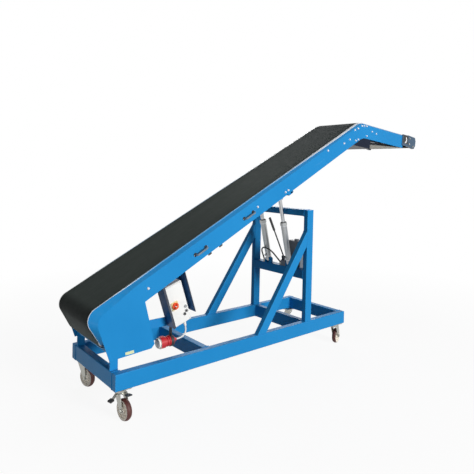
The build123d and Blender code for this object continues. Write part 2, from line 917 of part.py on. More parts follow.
rib_height = slider_v - slider_thickness + sheet
with BuildPart() as slider_bed:
    with BuildSketch(boom_plane(slider_width / 2)):
        with BuildLine():
            knee_strip(slider_v, slider_thickness, slider_start, nose_length - slider_end_gap)
        make_face()
    extrude(amount=slider_width)
    for side in side_names:
        with BuildSketch(boom_plane(side * rib_y + slider_thickness / 2)):
            with BuildLine():
                knee_strip(
                    slider_v - slider_thickness,
                    rib_height,
                    slider_start,
                    nose_length - slider_end_gap,
                )
            make_face()
        extrude(amount=slider_thickness)
write(slider_bed.part, "slider_bed")

# Cross ties under the slider bed, and the beam that the lift cylinders push
tie_middle_v = -sheet - tie_height / 2
with BuildPart() as boom_cross_ties:
    for s in boom_ties:
        with BuildSketch(boom_plane(web_inner)):
            with Locations((s, web_bottom + web_height + tie_middle_v)):
                Rectangle(tie_along, tie_height)
        extrude(amount=2 * web_inner)
    for u in (nose_tie_start, nose_length - nose_tie_gap):
        with BuildSketch(boom_plane(web_inner)):
            with Locations(Location((*nose_point(u, tie_middle_v), 0), (0, 0, -nose_drop))):
                Rectangle(tie_along, tie_height)
        extrude(amount=2 * web_inner)
write(boom_cross_ties.part, "boom_cross_ties")

with BuildPart() as lift_beam:
    with BuildSketch(boom_plane(web_inner)):
        with Locations((cylinder_head_s, (lift_beam_bottom + lift_beam_top) / 2)):
            Rectangle(lift_beam_along, lift_beam_top - lift_beam_bottom)
    extrude(amount=2 * web_inner)
    for side in side_names:
        for ear in (-1, 1):
            y = side * cylinder_spacing / 2 + ear * ear_y
            with BuildSketch(boom_plane(y + ear_thickness / 2)):
                with Locations((cylinder_head_s, cylinder_head_n)):
                    Circle(ear_half_length)
                with Locations((cylinder_head_s, (cylinder_head_n + lift_beam_bottom) / 2)):
                    Rectangle(2 * ear_half_length, lift_beam_bottom - cylinder_head_n)
            extrude(amount=ear_thickness)
        with BuildSketch(boom_plane(side * cylinder_spacing / 2 + pin_length / 2)):
            with Locations((cylinder_head_s, cylinder_head_n)):
                Circle(cylinder_pin_diameter / 2)
        extrude(amount=pin_length)
write(lift_beam.part, "lift_beam")

# Lift cylinders, drawn from the foot pin towards the head pin
head_inset, head_z = boom_point(cylinder_head_s, cylinder_head_n)
head_x = along(head_inset)
cylinder_run = Vector(head_x - foot_x, 0, head_z - cylinder_foot_height)
cylinder_axis = cylinder_run.normalized()
cylinder_side = Vector(cylinder_axis.Z, 0, -cylinder_axis.X)
for side, side_name in side_names.items():
    y = side * cylinder_spacing / 2
    foot = Vector(foot_x, y, cylinder_foot_height)

    def eye_plane(distance):
        """Sketch plane across the pins: local y runs up the cylinder."""
        origin = foot + cylinder_axis * distance + Vector(0, eye_width / 2, 0)
        return Plane(origin=origin, x_dir=cylinder_side, z_dir=(0, -1, 0))

    def bore_plane(distance):
        """Sketch plane square to the cylinder."""
        return Plane(origin=foot + cylinder_axis * distance, x_dir=(0, 1, 0), z_dir=cylinder_axis)

    with BuildPart() as barrel:
        with BuildSketch(eye_plane(0)):
            Circle(foot_eye_radius)
            with Locations((0, barrel_floor - neck_strip / 2)):
                Rectangle(2 * foot_eye_radius, neck_strip)
            make_hull()
            Circle(cylinder_pin_diameter / 2 + running_clearance, mode=Mode.SUBTRACT)
        extrude(amount=eye_width)
        with BuildSketch(bore_plane(barrel_floor)):
            Circle(barrel_diameter / 2)
        extrude(amount=barrel_length - barrel_floor)
        with BuildSketch(bore_plane(barrel_length - gland_nut_height)):
            RegularPolygon(gland_nut_diameter / 2, 6)
        extrude(amount=gland_nut_height)
        port_origin = foot + cylinder_axis * port_distance
        with BuildSketch(Plane(origin=port_origin, x_dir=(0, 1, 0), z_dir=-cylinder_side)):
            Circle(port_diameter / 2)
        extrude(amount=barrel_diameter / 2 + port_reach)
        with BuildSketch(bore_plane(barrel_floor + barrel_end)):
            Circle(rod_diameter / 2 + rod_clearance)
        extrude(amount=barrel_length - barrel_floor - barrel_end, mode=Mode.SUBTRACT)
    write(barrel.part, f"lift_barrel_{side_name}")

    with BuildPart() as rod:
        with BuildSketch(bore_plane(cylinder_run.length - rod_length)):
            Circle(rod_diameter / 2)
        extrude(amount=rod_length - head_eye_radius)
        with BuildSketch(eye_plane(cylinder_run.length)):
            with Locations((0, 0), (head_drift, 0)):
                Circle(head_eye_radius)
            with Locations((0, neck_strip / 2 - head_eye_radius - head_neck)):
                Rectangle(rod_diameter, neck_strip)
            make_hull()
            with Locations((0, 0), (head_drift, 0)):
                Circle(cylinder_pin_diameter / 2 + head_play, mode=Mode.SUBTRACT)
            with Locations((head_drift / 2, 0)):
                Rectangle(head_drift, cylinder_pin_diameter + 2 * head_play, mode=Mode.SUBTRACT)
        extrude(amount=eye_width)
    write(rod.part, f"lift_rod_{side_name}")

# Hand pump, its lever and the oil tank
lever_axis = Vector(-sin(radians(lever_lean)), 0, cos(radians(lever_lean)))
lever_foot = Vector(along(lever_foot_inset), pump_y, mid_bar_top + pump_height)
with BuildPart() as hand_pump:
    with BuildSketch(Plane.XY.offset(mid_bar_top)):
        with Locations((along(pump_inset), pump_y)):
            RectangleRounded(pump_width, pump_length, mast_corner)
    extrude(amount=pump_height)
    chamfer(hand_pump.faces().sort_by(Axis.Z)[-1].edges(), pump_bevel)
    clevis_top = lever_foot + lever_axis * clevis_height
    for cheek in (-1, 1):
        cheek_y = pump_y + cheek * (lever_diameter / 2 + clevis_gap + clevis_sheet / 2)
        with BuildSketch(chassis_plane(cheek_y + clevis_sheet / 2)):
            with Locations((lever_foot.X, lever_foot.Z - pump_bevel)):
                Rectangle(clevis_along, 2 * pump_bevel)
            with Locations((clevis_top.X, clevis_top.Z)):
                Circle(clevis_along / 3)
            make_hull()
        extrude(amount=clevis_sheet)
write(hand_pump.part, "hand_pump")

tank_inset = mast_inset + mast_tube_along / 2 + tank_length / 2

with BuildPart() as oil_tank:
    with BuildSketch(Plane.XY.offset(tank_bottom)):
        with Locations((along(tank_inset), tank_y)):
            Rectangle(tank_length, tank_width)
    extrude(amount=tank_height)
    tank_rear = oil_tank.faces().sort_by(Axis.X)[-1]
    fillet(tank_rear.edges(), tank_corner)
    with BuildSketch(Plane.XY.offset(tank_bottom + tank_height)):
        with Locations((along(tank_inset), tank_y)):
            Circle(cap_diameter / 2)
    extrude(amount=cap_height)
write(oil_tank.part, "oil_tank")

with BuildPart() as pump_lever:
    with BuildSketch(Plane(origin=lever_foot, x_dir=(0, 1, 0), z_dir=lever_axis)):
        Circle(lever_diameter / 2)
    extrude(amount=lever_length)
    grip_start = lever_foot + lever_axis * (lever_length - lever_grip_length)
    with BuildSketch(Plane(origin=grip_start, x_dir=(0, 1, 0), z_dir=lever_axis)):
        Circle(lever_grip_diameter / 2)
    extrude(amount=lever_grip_length)
    fillet(pump_lever.edges().sort_by(Axis.Z)[-1], lever_grip_diameter / 4)
    split(bisect_by=Plane.XY.offset(lever_foot.Z), keep=Keep.TOP)
write(pump_lever.part, "pump_lever")

# Bow handles on the webs, each a bent bar between two round feet
handle_out = web_outer + handle_standoff - handle_grip_diameter / 2
handle_half = (handle_span - handle_foot_diameter) / 2
for side, side_name in side_names.items():
    with BuildPart() as handles:
        for middle in handle_places:
            ends = (middle - handle_half, middle + handle_half)
            with BuildSketch(boom_plane(side * web_outer)):
                with Locations(*[(s, handle_n) for s in ends]):
                    Circle(handle_foot_diameter / 2)
            extrude(amount=-side * handle_foot_thickness)
            with BuildLine() as bow:
                FilletPolyline(
                    boom_place(ends[0], handle_n, side * web_outer),
                    boom_place(ends[0], handle_n, side * handle_out),
                    boom_place(ends[1], handle_n, side * handle_out),
                    boom_place(ends[1], handle_n, side * web_outer),
                    radius=handle_bend,
                )
            with BuildSketch(Plane(origin=bow.wire() @ 0, z_dir=bow.wire() % 0)):
                Circle(handle_grip_diameter / 2)
            sweep()
    write(handles.part, f"web_handles_{side_name}")

# Control station: a folded channel under the right web, with the box in it
control_x, control_z = boom_point(control_s, web_bottom)
control_x = along(control_x)
lean = radians(control_lean)
channel_back_y = -web_inner + channel_depth
box_face_y = -web_inner + box_setback


def control_plane(y):
    """Sketch plane of the control station, with its normal along -Y."""
    return Plane(origin=(control_x, y, control_z), x_dir=(cos(lean), 0, sin(lean)), z_dir=(0, -1, 0))


skew = tan(radians(boom_angle - control_lean))
half_channel = channel_width / 2
channel_lip_y = channel_sheet - web_inner
brace_middle_z = (channel_brace_bottom + channel_brace_top) / 2
brace_height = channel_brace_top - channel_brace_bottom
with BuildPart() as control_channel:
    for cheek in (-1, 1):
        inner = cheek * (half_channel - channel_sheet)
        outer = cheek * half_channel
        with BuildSketch(control_plane(channel_back_y)):
            with BuildLine():
                Polyline(
                    (inner, channel_top + inner * skew),
                    (outer, channel_top + outer * skew),
                    (outer, channel_bottom + outer * skew),
                    (inner, channel_bottom + inner * skew),
                    close=True,
                )
            make_face()
        extrude(amount=channel_depth)
    with BuildSketch(control_plane(channel_back_y)):
        with BuildLine():
            Polyline(
                (-half_channel, channel_top - half_channel * skew),
                (half_channel, channel_top + half_channel * skew),
                (half_channel, channel_bottom + half_channel * skew),
                (-half_channel, channel_bottom - half_channel * skew),
                close=True,
            )
        make_face()
    extrude(amount=channel_sheet)
    with BuildSketch(control_plane(channel_lip_y)):
        with BuildLine():
            for cheek in (-1, 1):
                outer = cheek * half_channel
                inner = cheek * (half_channel - channel_lip)
                Polyline(
                    (inner, channel_top + inner * skew),
                    (outer, channel_top + outer * skew),
                    (outer, channel_bottom + outer * skew),
                    (inner, channel_bottom + inner * skew),
                    close=True,
                )
        make_face()
    extrude(amount=channel_sheet)
    with BuildSketch(chassis_plane(channel_back_y)):
        with Locations((along((channel_brace_start + channel_brace_end) / 2), brace_middle_z)):
            Rectangle(channel_brace_end - channel_brace_start, brace_height)
    extrude(amount=channel_sheet)
    with BuildSketch(chassis_plane(channel_back_y)):
        with Locations((along(channel_brace_start + channel_sheet / 2), brace_middle_z)):
            Rectangle(channel_sheet, brace_height)
    extrude(amount=channel_depth)
write(control_channel.part, "control_channel")

box_depth = channel_depth - channel_sheet - box_setback
with BuildPart() as control_box:
    with BuildSketch(control_plane(box_face_y + box_depth)):
        with Locations((box_shift, box_bottom + box_height / 2)):
            RectangleRounded(box_width, box_height, box_corner)
    extrude(amount=box_depth)
    chamfer(control_box.faces().sort_by(Axis.Y)[0].edges(), box_bevel)
write(control_box.part, "control_box")

with BuildPart() as main_switch:
    with BuildSketch(control_plane(box_face_y)):
        with Locations(switch_place):
            RectangleRounded(switch_plate, switch_plate, switch_corner)
    extrude(amount=switch_plate_depth)
    with BuildSketch(control_plane(box_face_y - switch_plate_depth)):
        with Locations(switch_place):
            Circle(switch_collar_diameter / 2)
    extrude(amount=switch_collar_depth)
    with BuildSketch(control_plane(box_face_y - switch_plate_depth - switch_collar_depth)):
        with Locations(Location((*switch_place, 0), (0, 0, switch_turn))):
            SlotOverall(switch_knob_diameter, switch_grip_width)
    extrude(amount=switch_depth - switch_collar_depth)
write(main_switch.part, "main_switch")

with BuildPart() as push_buttons:
    for depth, diameter in ((bezel_depth, bezel_diameter), (button_depth, button_diameter)):
        with BuildSketch(control_plane(box_face_y)):
            with Locations(*button_places):
                Circle(diameter / 2)
        extrude(amount=depth)
write(push_buttons.part, "push_buttons")

# Hydraulic hose and its two fittings
with BuildPart() as hose_fittings:
    for inset, y in (hose_start, hose_end):
        with BuildSketch(Plane.XY.offset(mid_bar_top)):
            with Locations((along(inset), y)):
                Circle(fitting_diameter / 2)
        extrude(amount=fitting_height)
write(hose_fittings.part, "hose_fittings")

hose_z = mid_bar_top + fitting_height
hose_points = [
    (along(hose_start[0]), hose_start[1], hose_z),
    *[(along(inset), y, z) for inset, y, z in hose_crest],
    (along(hose_end[0]), hose_end[1], hose_z),
]


def bend_radii(points, share=0.45):
    """Radii of the bends at the inner points of a route, from its shorter neighbouring run."""
    radii = []
    for before, here, after in zip(points, points[1:], points[2:]):
        first = Vector(*here) - Vector(*before)
        second = Vector(*after) - Vector(*here)
        turn = radians(first.get_angle(second))
        radii.append(share * min(first.length, second.length) / tan(turn / 2))
    return radii


def tube_along(points, diameter, name):
    """A round tube along a route of straight runs and bends."""
    radii = bend_radii(points)
    print(name, "bend radii", [round(radius, 1) for radius in radii])
    with BuildPart() as tube:
        with BuildLine() as route:
            FilletPolyline(*points, radius=radii)
        print(name, "length", round(route.wire().length, 1))
        with BuildSketch(Plane(origin=route.wire() @ 0, z_dir=route.wire() % 0)):
            Circle(diameter / 2)
        sweep()
    write(tube.part, name)


tube_along(hose_points, hose_diameter, "hydraulic_hose")

# Power lead: its route in this model's frame, from the gland's end down and round to the plug
lead_points = [
    (-1053.39, -207.0, 446.46),
    (-1036.89, -207.0, 397.15),
    (-1067.27, -207.0, 354.95),
    (-1119.27, -207.0, 354.95),
]
tube_along(lead_points, lead_diameter, "power_lead")


def control_point(p, q):
    """X and Z of a place of the control station: p across it and q up it."""
    return control_x + p * cos(lean) - q * sin(lean), control_z + p * sin(lean) + q * cos(lean)


gland_x, gland_z = control_point(gland_place, box_bottom)
with BuildPart() as lead_gland:
    gland_plane = Plane(origin=(gland_x, lead_y, gland_z), x_dir=(0, 1, 0), z_dir=(sin(lean), 0, -cos(lean)))
    with BuildSketch(gland_plane):
        RegularPolygon(gland_diameter / 2, 6)
    extrude(amount=gland_length)
    for distance, diameter in ((gland_length, gland_taper_start), (gland_length + gland_taper, gland_taper_end)):
        with BuildSketch(gland_plane.offset(distance)):
            Circle(diameter / 2)
    loft()
write(lead_gland.part, "lead_gland")

plug_x, plug_y, plug_z = lead_points[-1]
body_radius = plug_body_diameter / 2
collar_start = plug_boot_length + plug_body_length
cap_start = collar_start + plug_collar_length
plug_profile = [
    (0, 0),
    (0, plug_boot_tip / 2),
    (plug_boot_length, plug_boot_diameter / 2),
    (plug_boot_length, body_radius - plug_bevel),
    (plug_boot_length + plug_bevel, body_radius),
]
for groove in range(plug_grooves):
    start = collar_start - plug_groove_pitch * (plug_grooves - groove)
    plug_profile += [
        (start, body_radius),
        (start, body_radius - plug_groove_depth),
        (start + plug_groove_width, body_radius - plug_groove_depth),
        (start + plug_groove_width, body_radius),
    ]
plug_profile += [
    (collar_start, body_radius),
    (collar_start, plug_collar_diameter / 2),
    (cap_start, plug_collar_diameter / 2),
    (cap_start, plug_cap_diameter / 2),
    (cap_start + plug_cap_length, plug_cap_diameter / 2),
    (cap_start + plug_cap_length, 0),
]
with BuildPart() as plug:
    with BuildSketch(Plane(origin=(plug_x, plug_y, plug_z), x_dir=(-1, 0, 0), z_dir=(0, 1, 0))):
        with BuildLine():
            Polyline(*plug_profile, close=True)
        make_face()
    revolve(axis=Axis((plug_x, plug_y, plug_z), (-1, 0, 0)))
write(plug.part, "plug")

clip_bore = plug_body_diameter / 2 + clip_seat
clip_out_x, clip_out_z = control_point(-half_channel, channel_bottom - half_channel * skew)
clip_in_x, clip_in_z = control_point(
    channel_sheet - half_channel, channel_bottom - (half_channel - channel_sheet) * skew
)
with BuildPart() as plug_clip:
    with BuildSketch(chassis_plane(plug_y + clip_tab_width / 2)):
        with BuildLine():
            Polyline(
                (clip_out_x, clip_out_z),
                (clip_in_x, clip_in_z),
                (clip_in_x, plug_z + clip_bore / 2),
                (clip_out_x, plug_z + clip_bore / 2),
                close=True,
            )
        make_face()
    extrude(amount=clip_tab_width)
    clip_face = Plane(
        origin=((clip_out_x + clip_in_x) / 2 + clip_width / 2, plug_y, plug_z),
        x_dir=(0, 1, 0),
        z_dir=(-1, 0, 0),
    )
    with BuildSketch(clip_face):
        Circle(clip_bore + clip_thickness)
    extrude(amount=clip_width)
    with BuildSketch(clip_face):
        Circle(clip_bore)
    extrude(amount=clip_width, mode=Mode.SUBTRACT)
write(plug_clip.part, "plug_clip")

# Gear motor on its plate in the tail housing
gearbox_y = motor_y - motor_length / 2 - gearbox_length
with BuildPart() as gear_motor:
    with BuildSketch(boom_plane(motor_y + motor_length / 2)):
        with Locations((motor_s, motor_n)):
            Circle(motor_diameter / 2)
    extrude(amount=motor_length)
    with BuildSketch(boom_plane(gearbox_y + gearbox_length)):
        with Locations((motor_s, motor_n - (motor_diameter - gearbox_width) / 2)):
            Rectangle(gearbox_width, gearbox_width)
    extrude(amount=gearbox_length)
    with BuildSketch(boom_plane(web_inner)):
        with Locations((motor_s, motor_n - (motor_diameter + motor_plate_thickness) / 2)):
            Rectangle(motor_plate_along, motor_plate_thickness)
    extrude(amount=2 * web_inner)
write(gear_motor.part, "gear_motor")
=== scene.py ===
import json
from math import asin, atan2, cos, dist, pi, radians, sin, tan

import bmesh
import bpy
from mathutils import Matrix, Vector


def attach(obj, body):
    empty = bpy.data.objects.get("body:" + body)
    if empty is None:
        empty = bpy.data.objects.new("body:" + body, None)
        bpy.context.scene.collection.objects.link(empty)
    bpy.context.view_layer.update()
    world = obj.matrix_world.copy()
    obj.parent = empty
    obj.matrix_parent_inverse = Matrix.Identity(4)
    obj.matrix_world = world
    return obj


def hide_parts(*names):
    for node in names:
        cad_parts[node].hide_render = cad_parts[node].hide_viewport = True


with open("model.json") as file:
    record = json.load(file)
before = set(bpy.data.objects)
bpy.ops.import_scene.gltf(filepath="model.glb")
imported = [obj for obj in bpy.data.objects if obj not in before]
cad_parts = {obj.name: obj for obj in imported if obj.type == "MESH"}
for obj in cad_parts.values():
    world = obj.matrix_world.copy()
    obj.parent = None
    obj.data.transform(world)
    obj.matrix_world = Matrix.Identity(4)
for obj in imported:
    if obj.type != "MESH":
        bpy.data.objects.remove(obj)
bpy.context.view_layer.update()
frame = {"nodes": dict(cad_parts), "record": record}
nodes = frame["nodes"]

# The boom's own frame: s runs up the boom and n square to it, both from the pivot, in millimetres
PIVOT = Vector((-1567.6046, 0.0, 382.0))
BOOM_TURN = radians(27.5)
NOSE_DROP = radians(32.3)
KNEE = (2778.0, 271.0)
WEB_FACE = 260.0

# The control unit's frame: p runs along its face and q up it, from the web's lower edge over it
CONTROL_LEAN = radians(18.5)
CONTROL_X = -1172.9
CONTROL_Z = 756.6

SIDES = ((-1, "right"), (1, "left"))


def boom(s, n, y=0.0):
    """A place on the boom, in metres in the row frame."""
    x = PIVOT.x + s * cos(BOOM_TURN) - n * sin(BOOM_TURN)
    z = PIVOT.z + s * sin(BOOM_TURN) + n * cos(BOOM_TURN)
    return Vector((x, y, z)) / 1000


def nose(u, v):
    """Boom (s, n) of a place on the nose: u along it and v above its fold line."""
    s = KNEE[0] + u * cos(NOSE_DROP) + v * sin(NOSE_DROP)
    n = KNEE[1] - u * sin(NOSE_DROP) + v * cos(NOSE_DROP)
    return s, n


def on_nose(u, v, y):
    """A place on the nose, in metres in the row frame."""
    return boom(*nose(u, v), y)


def on_controls(p, q, y):
    """A place on the control unit, in metres in the row frame."""
    x = CONTROL_X + p * cos(CONTROL_LEAN) - q * sin(CONTROL_LEAN)
    z = CONTROL_Z + p * sin(CONTROL_LEAN) + q * cos(CONTROL_LEAN)
    return Vector((x, y, z)) / 1000


# Camera
def aim_camera():
    """Sets the camera where the machine was photographed from."""
    place = (-2.7932, -2.7536, 1.4357)
    yaw = radians(40.338)
    pitch = radians(0.814)
    roll = radians(1.301)
    forward = Vector((sin(yaw) * cos(pitch), cos(yaw) * cos(pitch), -sin(pitch)))
    level = Vector((cos(yaw), -sin(yaw), 0.0))
    rise = level.cross(forward)
    right = level * cos(roll) + rise * sin(roll)
    up = rise * cos(roll) - level * sin(roll)
    data = bpy.data.cameras.new("view")
    data.sensor_width = 36.0
    data.lens = 35.627
    data.shift_y = -0.12
    data.clip_end = 200.0
    camera = bpy.data.objects.new("view", data)
    turn = Matrix((right, up, -forward)).transposed()
    camera.matrix_world = Matrix.Translation(place) @ turn.to_4x4()
    bpy.context.scene.collection.objects.link(camera)
    bpy.context.scene.camera = camera


aim_camera()


# Node writing
class Term:
    """A socket; arithmetic on it adds Math nodes to its tree."""

    def __init__(self, tree, socket):
        self.tree = tree
        self.socket = socket

    def worked(self, operation, first, second=None):
        step = self.tree.nodes.new("ShaderNodeMath")
        step.operation = operation
        for place, value in enumerate((first, second)):
            if isinstance(value, Term):
                self.tree.links.new(value.socket, step.inputs[place])
            elif value is not None:
                step.inputs[place].default_value = value
        return Term(self.tree, step.outputs[0])

    def __add__(self, other):
        return self.worked("ADD", self, other)

    def __radd__(self, other):
        return self.worked("ADD", other, self)

    def __sub__(self, other):
        return self.worked("SUBTRACT", self, other)

    def __rsub__(self, other):
        return self.worked("SUBTRACT", other, self)

    def __mul__(self, other):
        return self.worked("MULTIPLY", self, other)

    def __rmul__(self, other):
        return self.worked("MULTIPLY", other, self)

    def __truediv__(self, other):
        return self.worked("DIVIDE", self, other)

    def __rtruediv__(self, other):
        return self.worked("DIVIDE", other, self)

    def over(self, level):
        return self.worked("GREATER_THAN", self, level)

    def most(self, other):
        return self.worked("MAXIMUM", self, other)

    def size(self):
        return self.worked("ABSOLUTE", self)


class Plan:
    """A node tree whose nodes are written as expressions."""

    def __init__(self, tree):
        self.tree = tree

    def node(self, kind, settings=None, sockets=None, output=0):
        """A node of this type with its settings made first, then its sockets set or linked."""
        made = self.tree.nodes.new(kind)
        for key, value in (settings or {}).items():
            setattr(made, key, value)
        for key, value in (sockets or {}).items():
            for one in value if isinstance(value, list) else [value]:
                if isinstance(one, Term):
                    self.tree.links.new(one.socket, made.inputs[key])
                else:
                    made.inputs[key].default_value = one
        return Term(self.tree, made.outputs[output])


class Finish(Plan):
    """A material; what changes over its surface is fed to its shader."""

    def __init__(self, name, **constants):
        self.material = bpy.data.materials.new(name)
        self.material.use_nodes = True
        super().__init__(self.material.node_tree)
        self.tree.nodes.clear()
        self.shader = self.tree.nodes.new("ShaderNodeBsdfPrincipled")
        self.result = self.tree.nodes.new("ShaderNodeOutputMaterial")
        self.tree.links.new(self.shader.outputs[0], self.result.inputs["Surface"])
        for socket, value in constants.items():
            self.shader.inputs[socket.replace("_", " ")].default_value = value
        self.place = self.node("ShaderNodeTexCoord", output="Object")

    def along(self, axis):
        """The place along x, y or z, in metres in the row frame."""
        return self.node("ShaderNodeSeparateXYZ", None, {0: self.place}, "XYZ".index(axis))

    def noise(self, scale, detail=3.0, roughness=0.55, where=None):
        sockets = {"Vector": where or self.place, "Scale": scale, "Detail": detail, "Roughness": roughness}
        return self.node("ShaderNodeTexNoise", None, sockets)

    def stretched(self, turn, scale):
        """Object coordinates turned into a frame and scaled along its axes."""
        sockets = {"Vector": self.place, "Rotation": turn, "Scale": scale}
        return self.node("ShaderNodeMapping", {"vector_type": "TEXTURE"}, sockets)

    def blend(self, share, first, second):
        """A colour between two colours."""
        sockets = {0: share, 6: first, 7: second}
        for key in (6, 7):
            if isinstance(sockets[key], tuple):
                sockets[key] = (*sockets[key], 1.0)
        return self.node("ShaderNodeMix", {"data_type": "RGBA"}, sockets, 2)

    def ramp(self, value, low, high):
        """Value carried from low..high to 0..1 and held there."""
        sockets = {"Value": value, "From Min": low, "From Max": high}
        return self.node("ShaderNodeMapRange", {"clamp": True}, sockets)

    def bump(self, height, strength, distance):
        sockets = {"Height": height, "Strength": strength, "Distance": distance}
        self.feed("Normal", self.node("ShaderNodeBump", None, sockets))

    def feed(self, socket, value):
        self.tree.links.new(value.socket, self.shader.inputs[socket])


# Finishes of the machine
def upward(finish):
    """How far a face looks up, from 0 to 1."""
    normal = finish.node("ShaderNodeNewGeometry", output="Normal")
    return finish.node("ShaderNodeSeparateXYZ", None, {0: normal}, 2).most(0.0)


def painted(name, colour, deep):
    """Semi-gloss enamel: faint orange peel, cloudy tone, dust on what looks up and fine rubs."""
    dusty = (0.42, 0.45, 0.47)
    rubbed = (0.18, 0.42, 0.68)
    made = Finish(name, Specular_IOR_Level=0.08, Coat_Weight=0.012, Coat_Roughness=0.14)
    cloud = made.noise(2.3, 4.0)
    fine = made.noise(38.0, 5.0, 0.7)
    lengthwise = made.stretched((0, -BOOM_TURN, 0), (6.0, 1.0, 1.0))
    rub = made.ramp(made.noise(9.0, 9.0, 0.75, lengthwise), 0.66, 0.74)
    dust = upward(made) * made.ramp(fine, 0.42, 0.72) * 0.07
    tone = made.blend(made.ramp(cloud, 0.3, 0.7), deep, colour)
    tone = made.blend(dust, tone, dusty)
    made.feed("Base Color", made.blend(rub * 0.18, tone, rubbed))
    made.feed("Roughness", 0.27 + fine * 0.16 + rub * 0.12 + dust * 0.8)
    made.bump(made.noise(420.0, 2.0) + rub * 0.4, 0.05, 0.0006)
    return made.material


def metal(name, colour, rough, brush=(1.0, 1.0, 1.0), stain=(0.35, 0.33, 0.31)):
    """Bare or plated metal with brushing and faint stains."""
    made = Finish(name, Metallic=1.0)
    streak = made.noise(55.0, 4.0, 0.6, made.stretched((0, 0, 0), brush))
    blot = made.ramp(made.noise(14.0, 6.0, 0.7), 0.55, 0.8)
    made.feed("Base Color", made.blend(blot * 0.35, colour, stain))
    made.feed("Roughness", rough + streak * 0.12 + blot * 0.18)
    made.bump(streak, 0.012, 0.0003)
    return made.material


def moulded(name, colour, worn, rough=0.42, grain=900.0, depth=0.08):
    """Moulded plastic or rubber: fine grain, slight fading and grime."""
    made = Finish(name)
    fade = made.ramp(made.noise(6.0, 5.0, 0.6), 0.35, 0.75)
    made.feed("Base Color", made.blend(fade * 0.5, colour, worn))
    made.feed("Roughness", rough + made.noise(60.0, 3.0) * 0.16)
    made.bump(made.noise(grain, 2.0), depth, 0.0004)
    return made.material


def belt_cover():
    """Charcoal belt cover: streaks along the run, a paler worn track, a slanting splice, a darker tone on
    its way to the knee, and painted shade that turns it near black where it wraps the tail drum's front."""
    charcoal, streaked, worn = (0.044, 0.056, 0.051), (0.070, 0.085, 0.079), (0.070, 0.080, 0.078)
    upper, tail_wrap_shade = (0.012, 0.017, 0.020), (0.004, 0.0055, 0.0055)
    splice_x, splice_slant = 0.12, 0.35
    made = Finish("belt_cover", Specular_IOR_Level=0.05)
    lengthwise = made.stretched((0, -BOOM_TURN, 0), (9.0, 1.0, 1.0))
    streak = made.ramp(made.noise(34.0, 4.0, 0.6, lengthwise), 0.45, 0.8)
    patch = made.ramp(made.noise(3.0, 5.0, 0.6), 0.4, 0.75)
    x, y = made.along("X"), made.along("Y")
    track = 1.0 - made.ramp(y.size(), 0.12, 0.20)
    tone = made.blend(streak * 0.35 + patch * 0.25, charcoal, streaked)
    tone = made.blend(track * 0.12, tone, worn)
    tone = made.blend(made.ramp(x, -0.3, 0.7) * 0.7, tone, upper)
    # Painted shade: the wrap round the tail drum's front goes near black
    tail = 1.0 - made.ramp(x, -1.722, -1.665)
    made.feed("Base Color", made.blend(tail * 0.8, tone, tail_wrap_shade))
    made.feed("Roughness", 0.58 + made.noise(26.0, 4.0) * 0.2 - track * 0.05)
    splice = 1.0 - made.ramp((x + y * splice_slant - splice_x).size(), 0.0015, 0.003)
    grain = made.node("ShaderNodeTexVoronoi", None, {"Vector": made.place, "Scale": 520.0})
    made.bump(grain + streak * 0.3 - splice * 2.0, 0.12, 0.0006)
    return made.material


def two_tone(name, axis, level, below, above):
    """Moulded plastic in two colours that meet at a level of one axis."""
    made = Finish(name)
    grime = made.ramp(made.noise(30.0, 5.0, 0.65), 0.5, 0.8)
    tone = made.blend(made.along(axis).over(level), below, above)
    made.feed("Base Color", made.blend(grime * 0.12, tone, (0.12, 0.11, 0.10)))
    made.feed("Roughness", 0.34 + grime * 0.18)
    made.bump(made.noise(700.0, 2.0), 0.06, 0.0004)
    return made.material


def button_caps():
    """Two dark caps under a grey one, in bright bezels."""
    made = Finish("button_caps", Roughness=0.3)
    bezel = made.along("Y").over(-0.2302)
    cap = made.blend(made.along("Z").over(0.5496), (0.035, 0.036, 0.038), (0.36, 0.37, 0.38))
    made.feed("Base Color", made.blend(bezel, cap, (0.48, 0.49, 0.50)))
    made.feed("Metallic", bezel * 0.8)
    return made.material


def channel_colours():
    """Dark channel, its dark blue a painted shade, with greyed front lips; the brace behind it is in the
    frame's blue.
    """
    lips_y, brace_p = -0.2515, -0.0925
    # inside is the frame's blue darkened as painted shade under the boom
    lips, inside, brace = (0.060, 0.068, 0.092), (0.012, 0.075, 0.21), (0.010, 0.250, 0.61)
    made = Finish("channel_colours", Specular_IOR_Level=0.3)
    p = (made.along("X") - CONTROL_X / 1000) * cos(CONTROL_LEAN)
    p = p + (made.along("Z") - CONTROL_Z / 1000) * sin(CONTROL_LEAN)
    tone = made.blend(p.over(brace_p), brace, made.blend(made.along("Y").over(lips_y), lips, inside))
    rub = made.ramp(made.noise(16.0, 7.0, 0.7), 0.6, 0.75)
    made.feed("Base Color", made.blend(rub * 0.15, tone, (0.14, 0.2, 0.28)))
    made.feed("Roughness", 0.36 + rub * 0.2)
    made.bump(made.noise(420.0, 2.0), 0.05, 0.0006)
    return made.material


def trim_colours():
    """Painted highlight along the lip: pale at both ends of the boom, the frame's blue between them."""
    made = Finish("trim_colours", Roughness=0.3)
    s = (made.along("X") - PIVOT.x / 1000) * cos(BOOM_TURN)
    s = s + (made.along("Z") - PIVOT.z / 1000) * sin(BOOM_TURN)
    # Patches that dim parts of the painted highlight
    worn = made.ramp(made.noise(7.0, 5.0, 0.6), 0.35, 0.7) * 0.4
    blue = made.ramp(s, 0.15, 0.5) * (1.0 - made.ramp(s, 1.5, 2.2))
    tone = made.blend(worn, (0.80, 0.83, 0.86), (0.55, 0.64, 0.72))
    made.feed("Base Color", made.blend(blue * 0.92, tone, (0.05, 0.34, 0.68)))
    return made.material


